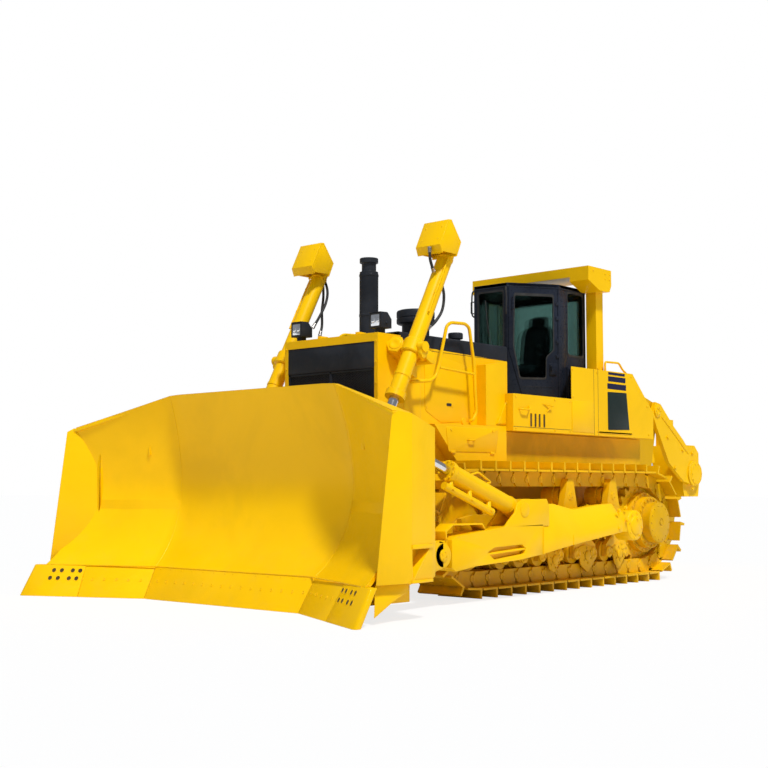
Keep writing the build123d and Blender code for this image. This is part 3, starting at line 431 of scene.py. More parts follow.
FINISHES = {
    # Each finish's corner share below sets how much shade is painted into its corners.
    "yellow": Paint("machine_yellow", Colour.YELLOW, drift=0.03, dust=0.02, shade_and_soil=0.35),
    "yellow_low": Paint("undercarriage_yellow", Colour.TRACK_YELLOW, roughness=0.45, coat=0.05, drift=0.10,
                        dust=0.10, shade_and_soil=0.8, wear=0.25, peel=0.0012, specular=0.1),
    "charcoal": Paint("charcoal_paint", Colour.CHARCOAL, roughness=0.42, drift=0.2, dust=0.05, shade_and_soil=0.2,
                      wear=0.1),
    "cab": Paint("cab_paint", Colour.CAB, roughness=0.30, drift=0.2, dust=0.03, shade_and_soil=0.15, wear=0.08),
    "navy": Paint("navy_stripe", Colour.NAVY, roughness=0.38, drift=0.1, dust=0.03, shade_and_soil=0.0, wear=0.0),
    "panel": Paint("dark_panel", Colour.PANEL, roughness=0.38, drift=0.1, dust=0.03, shade_and_soil=0.0, wear=0.0),
    "chrome": Metal("chrome_rod", Colour.CHROME),
    "steel": Metal("worn_steel", Colour.STEEL, roughness=0.32, scratch=0.0004),
    "rubber": Rubber("black_rubber", Colour.RUBBER),
    "seat": Rubber("seat_cloth", Colour.SEAT, roughness=0.8, grain=0.0015),
    "glass": Glass("tinted_glass", Colour.GLASS),
    "lens": Metal("lamp_lens", Colour.LENS, roughness=0.08),
    # Dark sheets that stand for the shade inside holes and slots.
    "hole": Rubber("painted_hole_shade", Colour.HOLE_SHADE, roughness=0.8),
    # Dark strips for joints. Along the hood's sides they also paint the shadow under the sheet's edge.
    "seam_and_shadow_line": Rubber("seam_and_shadow_paint", Colour.SEAM_AND_SHADOW, roughness=0.7),
}


class Workshop:
    """Makes each finish once and hands it out by name."""

    made: dict[str, bpy.types.Material] = {}

    @classmethod
    def finish(cls, name: str) -> bpy.types.Material:
        """Material of a named finish, made on first use.

        Args:
            name: The finish's name.

        Returns:
            The material.
        """
        if name not in cls.made:
            cls.made[name] = FINISHES[name].material()
        return cls.made[name]


def dress(node: str, finish: str, smooth: float = 32.0) -> None:
    """Give a frame node its finish and smooth shading up to an angle.

    Args:
        node: The node's name.
        finish: The finish's name.
        smooth: Edges sharper than this many degrees stay crisp.
    """
    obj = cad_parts[node]
    obj.data.materials.clear()
    obj.data.materials.append(Workshop.finish(finish))
    obj.data.polygons.foreach_set("use_smooth", np.ones(len(obj.data.polygons), bool))
    weld = obj.modifiers.new("weld", "WELD")
    weld.merge_threshold = 0.0001
    split = obj.modifiers.new("crisp", "EDGE_SPLIT")
    split.split_angle = math.radians(smooth)
    LOG.info("dressed %s in %s", node, finish)


class Body(Enum):
    """Moving bodies that pieces ride on."""

    TRACTOR = "tractor"
    BLADE = "blade"
    ARMS = "push_frame"
    LIFT_BARRELS = "lift_barrels"
    TILT_BARRELS = "tilt_barrels"
    DOOR_LEFT = "door_left"
    DOOR_RIGHT = "door_right"
    LINKS = "ripper_links"


SLOTS = {"yellow": "yellow", "yellow_low": "dirty_yellow", "chrome": "chrome", "lens": "chrome",
         "steel": "steel", "seat": "seat", "glass": "glass"}       # all other finishes are dark


def unit(vectors: np.ndarray) -> np.ndarray:
    """Scale vectors to length one: each vector divided by its own length."""
    vectors = np.asarray(vectors, float)
    return vectors / np.linalg.norm(vectors, axis=-1, keepdims=True)


def across(axes: np.ndarray) -> tuple[np.ndarray, np.ndarray]:
    """Two directions square to each axis.

    The world axis least in line with the axes is the reference; side = axis × reference, up = axis × side.

    Args:
        axes: Unit vectors, one in each row.

    Returns:
        The side and up vectors, one in each row.
    """
    reference = np.eye(3)[np.argmin(np.abs(axes).mean(axis=0))]
    side = unit(np.cross(axes, reference))
    return side, np.cross(axes, side)


def curve_through(points: Sequence[Sequence[float]], steps: int = 12) -> np.ndarray:
    """Smooth path through points.

    Catmull-Rom curve: on each run, with u from 0 to 1 and neighbours a, b, c, d, the point is
    half of 2b + (c - a)u + (2a - 5b + 4c - d)u² + (3b - a - 3c + d)u³.

    Args:
        points: Points that the path passes through.
        steps: Steps on each run.

    Returns:
        The path's points, one in each row.
    """
    p = np.asarray(points, float)
    p = np.concatenate([2 * p[:1] - p[1:2], p, 2 * p[-1:] - p[-2:-1]])
    t = np.linspace(0, len(p) - 3, (len(p) - 3) * steps + 1)
    k = np.minimum(t.astype(int), len(p) - 4)
    u = (t - k)[:, None]
    a, b, c, d = p[k], p[k + 1], p[k + 2], p[k + 3]
    square, cube = 2 * a - 5 * b + 4 * c - d, 3 * b - a - 3 * c + d
    return 0.5 * (2 * b + (c - a) * u + square * u ** 2 + cube * u ** 3)


def rounded_corners(points: Sequence[Sequence[float]], radius: float, closed: bool = True,
                    steps: int = 5) -> np.ndarray:
    """Straight runs with softly rounded corners.

    Each corner p becomes (1 - t)² a + 2t(1 - t) p + t² b, where a and b lie on its sides at
    the radius from p.

    Args:
        points: The corners.
        radius: Distance from a corner at which its rounding starts.
        closed: Whether the last corner joins the first.
        steps: Points on each corner.

    Returns:
        The outline's points, one in each row.
    """
    p = np.asarray(points, float)
    before, after = np.roll(p, 1, axis=0), np.roll(p, -1, axis=0)
    a = p + unit(before - p) * radius
    b = p + unit(after - p) * radius
    t = np.linspace(0, 1, steps)[:, None, None]
    bends = ((1 - t) ** 2 * a + 2 * t * (1 - t) * p + t ** 2 * b).transpose(1, 0, 2)
    if closed:
        return bends.reshape(-1, p.shape[1])
    return np.concatenate([p[:1], bends[1:-1].reshape(-1, p.shape[1]), p[-1:]])


def squared(share: np.ndarray) -> np.ndarray:
    """Cosine or sine that fills a cushion's corners: its size to the power 0.45, with its sign."""
    return np.sign(share) * np.abs(share) ** 0.45


def boxed(y0: float, y1: float, z0: float, z1: float) -> list[tuple[float, float]]:
    """Corners of a rectangle, from the lowest ones round."""
    return [(y0, z0), (y1, z0), (y1, z1), (y0, z1)]


def at_x(points: np.ndarray, x: float) -> np.ndarray:
    """Give Y-Z points the same X."""
    return np.insert(points, 0, x, axis=1)


def at_y(points: Sequence[Sequence[float]], y: float) -> np.ndarray:
    """Give X-Z points the same Y."""
    p = np.asarray(points, float)
    return np.stack([p[..., 0], np.full(p.shape[:-1], float(y)), p[..., 1]], -1)


class Piece:
    """Mesh of one finished piece, filled with surfaces in millimetres and then put on a moving body."""

    def __init__(self, name: str, finish: str, body: Body = Body.TRACTOR) -> None:
        """Start an empty piece.

        Args:
            name: The piece's name.
            finish: Name of its finish.
            body: The body it rides on.
        """
        self.name, self.finish, self.body = name, finish, body
        self.points: list[np.ndarray] = []
        self.faces: list[list[int]] = []
        self.count = 0

    def add(self, points: np.ndarray, *faces: np.ndarray) -> "Piece":
        """Join points and arrays of faces that index them.

        Args:
            points: The points, in rows of X, Y and Z.
            *faces: Arrays of faces with the same number of corners.

        Returns:
            The piece itself.
        """
        flat = np.asarray(points, float).reshape(-1, 3)
        self.points.append(flat)
        for block in faces:
            self.faces += (np.asarray(block) + self.count).tolist()
        self.count += len(flat)
        return self

    def grid(self, points: np.ndarray, wrap: bool = False, caps: bool = False) -> "Piece":
        """Quads over one or more grids of points.

        The point in row i and column j has index i × columns + j. A quad joins it with the next row and
        column.

        Args:
            points: Array of grids, rows, columns and coordinates.
            wrap: Whether the last column joins the first.
            caps: Whether the first and last rows are closed with a face.

        Returns:
            The piece itself.
        """
        rows, cols = points.shape[-3:-1]
        i, j = np.meshgrid(np.arange(rows - 1), np.arange(cols if wrap else cols - 1), indexing="ij")
        after = (j + 1) % cols
        one = np.stack([i * cols + j, i * cols + after, (i + 1) * cols + after, (i + 1) * cols + j],
                       -1).reshape(-1, 4)
        copies = points.reshape(-1, rows * cols, 3)
        shift = np.arange(len(copies))[:, None, None] * rows * cols
        faces = [(one[None] + shift).reshape(-1, 4)]
        if caps:
            first = np.arange(cols)[None] + shift[:, :, 0]
            faces += [first[:, ::-1], first + (rows - 1) * cols]
        return self.add(copies, *faces)

    def turned(self, centres: Sequence, axis: Sequence, profile: Sequence, sides: int = 24) -> "Piece":
        """Turned solids: centre + distance × axis + radius × (cosine × side + sine × up) all round.

        Args:
            centres: Foot of each solid.
            axis: Direction of the solids, or one for each.
            profile: Rows of distance along the axis and radius.
            sides: Number of sides.

        Returns:
            The piece itself.
        """
        centres = np.atleast_2d(np.asarray(centres, float))
        axis = np.broadcast_to(unit(axis), centres.shape)
        side, up = across(axis)
        along, radius = np.array(profile, float).T
        angle = (np.arange(sides) + 0.5) * 2 * np.pi / sides
        ring = np.cos(angle)[None, :, None] * side[:, None] + np.sin(angle)[None, :, None] * up[:, None]
        spine = centres[:, None] + along[None, :, None] * axis[:, None]
        return self.grid(spine[:, :, None] + radius[None, :, None, None] * ring[:, None], wrap=True)

    def tube(self, path: np.ndarray, radius: float, sides: int = 12) -> "Piece":
        """Tube along a path: path point + radius × (cosine × side + sine × up), closed at its ends.

        Args:
            path: Points of the tube's middle line.
            radius: The tube's radius.
            sides: Number of sides.

        Returns:
            The piece itself.
        """
        path = np.concatenate([path[:1], path, path[-1:]])
        inner = unit(np.gradient(path[1:-1], axis=0))
        tangent = np.concatenate([inner[:1], inner, inner[-1:]])
        side, up = across(tangent)
        radii = np.full(len(path), radius)
        radii[[0, -1]] = 0.0
        angle = np.arange(sides) * 2 * np.pi / sides
        ring = np.cos(angle)[None, :, None] * side[:, None] + np.sin(angle)[None, :, None] * up[:, None]
        return self.grid(path[:, None] + radii[:, None, None] * ring, wrap=True)

    def plates(self, corners: np.ndarray, depth: Sequence) -> "Piece":
        """Flat plates: each outline, its copy moved by the depth, and a quad between each pair of corners.

        Args:
            corners: Outlines of the same number of corners.
            depth: Vector from the front face to the back face, or one for each outline.

        Returns:
            The piece itself.
        """
        corners = np.asarray(corners, float)
        corners = corners.reshape(-1, corners.shape[-2], 3)
        count = corners.shape[1]
        depth = np.asarray(depth, float).reshape(-1, 1, 3)
        both = np.stack([corners, corners + depth], 1)
        k = np.arange(count)
        rim = np.stack([k, (k + 1) % count, (k + 1) % count + count, k + count], -1)
        base = np.arange(len(corners)) * 2 * count
        return self.add(both, base[:, None] + k[None, ::-1], base[:, None] + count + k[None],
                        (base[:, None, None] + rim[None]).reshape(-1, 4))

    def framed(self, outer: np.ndarray, inner: np.ndarray, depth: Sequence[float]) -> "Piece":
        """Flat sheet with an opening: two like outlines, joined in front, inside, behind and outside."""
        loops = np.stack([outer, inner, inner + np.asarray(depth), outer + np.asarray(depth), outer])
        return self.grid(loops, wrap=True)

    def pillow(self, centre: Sequence[float], half: Sequence[float], tilt: float) -> "Piece":
        """Cushion: a ball of squared cosines and sines, with a piped seam round its middle.

        Args:
            centre: Middle of the cushion.
            half: Half sizes along X, Y and Z.
            tilt: Turn about Y in radians.

        Returns:
            The piece itself.
        """
        u = np.linspace(-math.pi / 2, math.pi / 2, 25)[:, None]
        v = (np.arange(40) * math.pi / 20)[None]
        seam = 1 + 0.05 * np.exp(-(u / 0.05) ** 2) - 0.03 * np.exp(-((np.abs(u) - 0.35) / 0.06) ** 2)
        flat = np.argmin(half)
        axes = [k for k in range(3) if k != flat]
        ball = np.zeros((25, 40, 3))
        ball[..., axes[0]] = squared(np.cos(u)) * squared(np.cos(v)) * seam
        ball[..., axes[1]] = squared(np.cos(u)) * squared(np.sin(v)) * seam
        ball[..., flat] = squared(np.sin(u)) + 0 * v
        ball *= np.asarray(half, float)
        c, s = math.cos(tilt), math.sin(tilt)
        x, z = ball[..., 0] * c + ball[..., 2] * s, -ball[..., 0] * s + ball[..., 2] * c
        return self.grid(np.stack([x, ball[..., 1], z], -1) + np.asarray(centre, float), wrap=True)

    def blocks(self, spans: Sequence) -> "Piece":
        """Square blocks, each a foot raised by its height.

        Args:
            spans: Rows of lowest and highest X, lowest and highest Y, and lowest and highest Z.

        Returns:
            The piece itself.
        """
        x0, x1, y0, y1, z0, z1 = np.atleast_2d(np.asarray(spans, float)).T
        foot = np.stack([np.stack(c, -1) for c in ((x0, y0, z0), (x1, y0, z0), (x1, y1, z0), (x0, y1, z0))],
                        1)
        return self.plates(foot, np.stack([0 * z0, 0 * z0, z1 - z0], -1))

    def put(self, both_sides: bool = False, bevel: float = 0.0, smooth: float = 35.0) -> bpy.types.Object:
        """Make the mesh, close it, give it its finish and let it ride.

        Args:
            both_sides: Whether a mirrored copy stands on the machine's other side.
            bevel: Width of the rounded edges in millimetres.
            smooth: Edges sharper than this many degrees stay crisp.

        Returns:
            The new object.
        """
        points, faces = np.concatenate(self.points), self.faces
        if both_sides:
            faces = faces + [[k + len(points) for k in reversed(face)] for face in faces]
            points = np.concatenate([points, points * MIRROR])
        mesh = bpy.data.meshes.new(self.name)
        mesh.from_pydata((points / 1000.0 - (MID_X, 0, 0)).tolist(), [], faces)
        shell = bmesh.new()
        shell.from_mesh(mesh)
        bmesh.ops.remove_doubles(shell, verts=shell.verts, dist=1e-5)
        bmesh.ops.recalc_face_normals(shell, faces=shell.faces)
        shell.to_mesh(mesh)
        shell.free()
        mesh.polygons.foreach_set("use_smooth", np.ones(len(mesh.polygons), bool))
        mesh.materials.append(Workshop.finish(self.finish))
        piece = bpy.data.objects.new(self.name, mesh)
        bpy.context.scene.collection.objects.link(piece)
        if bevel:
            soften = piece.modifiers.new("soften", "BEVEL")
            soften.width, soften.segments, soften.limit_method = bevel / 1000.0, 2, "ANGLE"
            soften.angle_limit = math.radians(40)
        crisp = piece.modifiers.new("crisp", "EDGE_SPLIT")
        crisp.split_angle = math.radians(smooth)
        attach(piece, self.body.value)
        SLOTS.get(self.finish, "dark")
        LOG.info("built %s", self.name)
        return piece


def disc(radius: float, low: float, high: float) -> list[tuple[float, float]]:
    """Profile of a square-edged round bar between two distances."""
    return [(low, 0), (low, radius), (high, radius), (high, 0)]


def band(low: float, high: float, inner: float, outer: float) -> list[tuple[float, float]]:
    """Profile of a square-edged ring between two distances and two radii."""
    return [(low, inner), (low, outer), (high, outer), (high, inner), (low, inner)]


def bolt(radius: float, height: float) -> list[tuple[float, float]]:
    """Profile of a bolt's head with a chamfered top."""
    return [(-2, 0), (-2, radius), (height * 0.75, radius), (height, radius * 0.8), (height, 0)]


def cap(radius: float, height: float, dish: float = 0.0) -> list[tuple[float, float]]:
    """Profile of a round cap with a chamfered rim and a dished middle."""
    return [(-2, 0), (-2, radius), (height * 0.6, radius), (height, radius * 0.93), (height, radius * 0.62),
            (height - dish, radius * 0.55), (height - dish, 0)]


def circle(centre: Sequence[float], radius: float, count: int, turn: float = 0.0) -> np.ndarray:
    """X-Z points spaced evenly round a centre: centre + radius × (cosine, sine)."""
    angle = turn + np.arange(count) * 2 * np.pi / count
    return np.stack([centre[0] + radius * np.cos(angle), centre[1] + radius * np.sin(angle)], -1)


@dataclass(frozen=True)
class Blade:
    """Curved plate with two wings, wear edges, end bits, tip boxes, weld beads and plow bolts."""

    edge_x: float = 6403.0
    half: float = 1221.0
    turn: float = math.atan2(700.0, 1416.0)
    joint: float = 1358.0
    low_arc: tuple[float, float, float] = (530.0, 1161.0, 1258.0)
    high_arc: tuple[float, float, float] = (2267.6, 2905.0, 1107.8)
    tip_y: float = 2637.0
    wing_end: float = 2505.0
    beam_end: float = 2300.0
    crease: tuple[float, float] = (6270.0, 2580.0)
    lip: float = 346.0
    top: float = 2290.0
    slope: float = 0.2888
    skin: float = 45.0
    edge_thick: float = 43.0
    bit_thick: float = 76.0
    bit_start: float = 824.0

    def curve(self, height: np.ndarray, depth: float) -> np.ndarray:
        """Distance of the curved plate from the edge line.

        Two arcs that meet at the joint: centre - root((radius + depth)² - (height - centre's height)²).

        Args:
            height: Heights over the ground.
            depth: Depth behind the plate's face.

        Returns:
            The distances, negative behind the edge line.
        """
        low, high = (centre - np.sqrt((radius + depth) ** 2 - (height - level) ** 2)
                     for centre, radius, level in (self.low_arc, self.high_arc))
        return np.where(height > self.joint, high, low)

    def middle(self, share: np.ndarray, ahead: np.ndarray) -> tuple[np.ndarray, np.ndarray]:
        """X and Y on the straight middle: Y = share × (half - ahead × tangent of half the wing's angle)."""
        return self.edge_x + ahead + 0 * share, share * (self.half - ahead * math.tan(self.turn / 2))

    def wing(self, along: np.ndarray, ahead: np.ndarray) -> tuple[np.ndarray, np.ndarray]:
        """X and Y on the left wing: corner + along × wing's direction + ahead × direction across it."""
        s, c = math.sin(self.turn), math.cos(self.turn)
        return self.edge_x + along * s + ahead * c, self.half + along * c - ahead * s

    def reach(self, y: float, ahead: np.ndarray) -> np.ndarray:
        """Distance along the wing at which it comes to a Y: (y - half + ahead × sine) / cosine."""
        return (y - self.half + ahead * math.sin(self.turn)) / math.cos(self.turn)

    def plate(self) -> None:
        """Curved plate.

        Each row is a closed section, up the face and down the back. Its heights are shares of the way from
        the lip to the top edge, which falls by the slope beyond the corners.
        """
        share = np.concatenate([np.linspace(0, 1, 34), np.linspace(1, 0, 34)])[None, :]
        depth = np.repeat([0.0, self.skin], 34)[None, :]
        runs = np.concatenate([np.linspace(0, 1, 9), np.linspace(1, 2, 15)])[:, None]
        limit = np.full((len(runs), share.shape[1]), self.top)
        for _ in range(5):
            height = self.lip + share * (limit - self.lip)
            ahead = self.curve(height, depth)
            start = ahead * math.tan(self.turn / 2)
            wing = self.wing(start + np.clip(runs - 1, 0, 1) * (self.reach(self.wing_end, ahead) - start),
                             ahead)
            centre = self.middle(np.minimum(runs, 1.0), ahead)
            x, y = (np.where(np.arange(len(runs))[:, None] > 8, w, m) for w, m in zip(wing, centre))
            limit = self.top - self.slope * np.maximum(y - 1290.0, 0.0)
        left = np.stack([x, y, height], -1)
        rows = np.concatenate([left[::-1] * MIRROR, left[1:]])
        piece = Piece("blade_plate", "yellow", Body.BLADE).grid(rows, wrap=True, caps=True)
        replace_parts(piece.put(smooth=28), "moldboard")

    def edge(self, rows: Sequence[tuple[np.ndarray, np.ndarray]], heights: np.ndarray) -> np.ndarray:
        """Rows of a wear edge's section from X and Y rows and the section's heights."""
        return np.stack([np.stack([x + 0 * heights, y + 0 * heights, heights], -1) for x, y in rows])

    def wear_edges(self) -> None:
        """Cutting edges along the middle and the wings, and thicker end bits with worn corners."""
        top = float(self.curve(np.array(self.lip), 0.0))
        heights = np.array([0.0, self.lip - 1, self.lip - 1, 0.0])
        ahead = np.array([0.0, top, top - self.edge_thick, -self.edge_thick])
        start = ahead * math.tan(self.turn / 2)
        piece = Piece("cutting_edges", "yellow", Body.BLADE)
        piece.grid(self.edge([self.middle(np.array(s), ahead) for s in (-0.998, 0.998)], heights),
                   wrap=True, caps=True)
        left = self.edge([self.wing(start + 3, ahead), self.wing(0 * ahead + self.bit_start - 3, ahead)],
                         heights)
        piece.grid(left, wrap=True, caps=True).grid(left * MIRROR, wrap=True, caps=True)
        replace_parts(piece.put(bevel=5), "cutting_edge")
        ahead = np.array([6.0, top + 6, top - self.bit_thick, -self.bit_thick])
        worn = ahead - np.array([30.0, 14.0, 0.0, 0.0])
        bit = self.edge([self.wing(0 * ahead + self.bit_start, ahead),
                         self.wing(self.reach(self.tip_y - 44, ahead), ahead),
                         self.wing(self.reach(self.tip_y, worn), worn)], heights + (1, 0, 0, 1))
        Piece("end_bits", "yellow", Body.BLADE).grid(bit, wrap=True, caps=True).put(both_sides=True, bevel=6)

    def on_tip(self, points: np.ndarray, shift: float = 0.0) -> np.ndarray:
        """Put X-Z points on the tip box's creased outer face.

        Y is the crease's, less 29 in 630 ahead of the crease and less 40 in 385 behind it, plus the shift.

        Args:
            points: The points, in rows of X and Z.
            shift: Distance outwards.

        Returns:
            The points, in rows of X, Y and Z.
        """
        x, (crease_x, crease_y) = points[:, 0], self.crease
        y = crease_y - np.where(x > crease_x, (x - crease_x) * 29 / 630, (crease_x - x) * 40 / 385)
        return np.stack([x, y + shift, points[:, 1]], -1)

    def tips(self) -> None:
        """Boxes that close the wings, with a creased outer face, a pocket, ledges, top plates and shoes."""
        crease_x, crease_y = self.crease
        low, high, depth = (crease_x, 352), (crease_x, 1916), 300.0
        front = np.array([high, (6450, 1933), (6540, 1888), (6742, 356), low], float)
        rear = np.array([(5885, 400), (5885, 1797), high, low, (5942, 374)], float)
        pocket = np.array([(6262, 660), (5985, 662), (6255, 376)], float)
        back = self.on_tip(front, -depth)
        back[:, 0] -= (0, 330, 420, 500, 0)
        piece = Piece("tip_boxes", "yellow", Body.BLADE)
        ring = np.arange(5)
        after = (ring + 1) % 5
        walls = np.stack([ring, after, after + 5, ring + 5], -1)
        piece.add(np.concatenate([self.on_tip(front), back]), ring[None], ring[None, ::-1] + 5, walls)
        rims = [self.on_tip(rear), self.on_tip(rear, -depth), self.on_tip(pocket),
                self.on_tip(pocket, -120.0)]
        round_pocket = [[1, 2, 10, 11], [2, 3, 12, 10], [3, 4, 11, 12], [4, 0, 1, 11]]
        pocket_walls = [[10, 11, 14, 13], [11, 12, 15, 14], [12, 10, 13, 15]]
        piece.add(np.concatenate(rims), walls, [[9, 8, 7, 6, 5]], round_pocket, pocket_walls,
                  [[13, 14, 15]])
        for bottom, top in ((664, 706), (350, 378)):
            shelf = [(6274, 2546, bottom), (6274, 2594, bottom), (5935, 2559, bottom), (5935, 2510, bottom)]
            piece.plates(np.array(shelf, float), (0, 0, top - bottom))
        shoe = np.array([(6700, 60), (6690, 352), (6258, 353), (6251, 280), (6470, 185)], float)
        piece.plates(self.on_tip(shoe) - (0, 60, 0), (-230, -180, 0))
        lid = np.array([(5973.8, 1327, 2286), (6480, 2525, 1921), (crease_x, crease_y, 1919)], float)
        piece.plates(lid, (0, 0, -40))
        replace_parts(piece.put(both_sides=True, bevel=6), "blade_ends")

    def wing_beams(self) -> None:
        """Box beams behind the wings, with the ears that take the push arms' and tilt cylinders' pins."""
        sections = [[(-150, 150), (-500, 700), (-560, 800), (-860, 760), (-860, 150)],
                    [(-600, 1700), (-560, 1950), (-800, 1900), (-800, 1650)],
                    [(-560, 790), (-640, 1200), (-630, 1700), (-700, 1700), (-700, 790)]]
        piece = Piece("wing_beams", "yellow", Body.BLADE)
        for section in sections:
            ahead, heights = np.array(section, float).T
            start = ahead * math.tan(self.turn / 2)
            end = self.reach(self.beam_end, ahead)
            piece.grid(self.edge([self.wing(start, ahead), self.wing(end, ahead)], heights), wrap=True,
                       caps=True)
        (x, z), (tx, tz) = BLADE_PIN, TILT_FRONT
        webs = [(x, z - 125), (5900, 160), (5900, 780), (x, z + 125)]
        ears = [(tx - 70, tz - 60), (6000, 1600), (6000, 1950), (tx - 10, tz + 90), (tx - 70, tz + 50)]
        for y0 in (ARM_Y - ARM_HALF, ARM_Y + ARM_HALF - 50):
            piece.plates(at_y(webs, y0), (0, 50, 0))
            piece.turned([(x, y0, z)], LEFT, disc(125, 0, 50), 32)
        for y0 in (ARM_Y - 105, ARM_Y + 65):
            piece.plates(at_y(ears, y0), (0, 40, 0))
        pin = disc(70, 0, 2 * ARM_HALF)
        piece.turned([(x, ARM_Y - ARM_HALF, z)], LEFT, pin, 28)
        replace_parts(piece.put(both_sides=True, bevel=4), "wing_frames")

    def on_edge(self, y: np.ndarray, z: np.ndarray, proud: float = 0.0) -> tuple[np.ndarray, np.ndarray]:
        """Points on the wear edges' face and the face's directions.

        Args:
            y: Distances from the centre plane.
            z: Heights.
            proud: Distance of the face before the edge line.

        Returns:
            The points and the unit vectors out of the face.
        """
        c, s = math.cos(self.turn), math.sin(self.turn)
        lean, rise = 0.878, 0.479
        out = np.abs(y) - self.half
        drop = -188.5 * z / 345.0 + proud
        x = self.edge_x + np.where(out > 0, out * s / c + drop / c, drop)
        normal = [np.where(out > 0, lean * c, lean), np.where(out > 0, -lean * s, 0) * np.sign(y),
                  rise + 0 * y]
        return np.stack([x, y, z], -1), unit(np.stack(normal, -1))

    def fasteners(self) -> None:
        """Plow bolts' flush heads, the end bits' bolt holes as dark discs of painted shade within rims, weld
        beads and edge clips.
        """
        wing = np.array([1350, 1487, 1620, 1755, 1890, 2005.0])
        y = np.concatenate([np.linspace(-1120, 1190, 16), wing, -wing])
        heads, normals = self.on_edge(y, np.full(len(y), 196.0))
        Piece("plow_bolts", "yellow", Body.BLADE).turned(heads, normals, cap(17, 5, 3), 16).put()
        y = np.tile([2070, 2155, 2280, 2370.0], 2)
        z = np.repeat([285.0, 200.0], 4)
        holes, normals = self.on_edge(np.concatenate([y, -y]), np.concatenate([z, z]), 6.0)
        # Dark discs on the end bits: painted shade in place of open bolt holes.
        Piece("bit_hole_shade", "hole", Body.BLADE).turned(holes, normals, disc(25, -4, 1.5), 20).put()
        rim = [(-3, 24), (-3, 33), (3, 31), (3.5, 26), (-3, 24)]
        Piece("bit_rims", "yellow", Body.BLADE).turned(holes, normals, rim, 20).put()
        height = np.linspace(self.lip, self.top - 12, 40)
        ahead = self.curve(height, 0.0)
        x, seam = self.middle(np.array(1.0), ahead)
        bead = Piece("weld_beads", "yellow", Body.BLADE).tube(np.stack([x - 1, seam, height], -1), 6.0, 8)
        low = [self.on_edge(np.array([y]), np.array([self.lip + 1.0]))[0][0] for y in (0.0, 1215.0, 2440.0)]
        bead.tube(np.array(low) + (2, 0, 0), 7.0, 8)
        bead.put(both_sides=True)
        dots = np.linspace(60, 1150, 7)
        z = np.full(len(dots), 322.0)
        lugs, normals = self.on_edge(dots, z)
        Piece("edge_clips", "yellow", Body.BLADE).turned(lugs, normals, cap(9, 3), 12).put(both_sides=True)

    def build(self) -> None:
        """Build the whole blade."""
        self.plate()
        self.wear_edges()
        self.wing_beams()
        self.tips()
        self.fasteners()


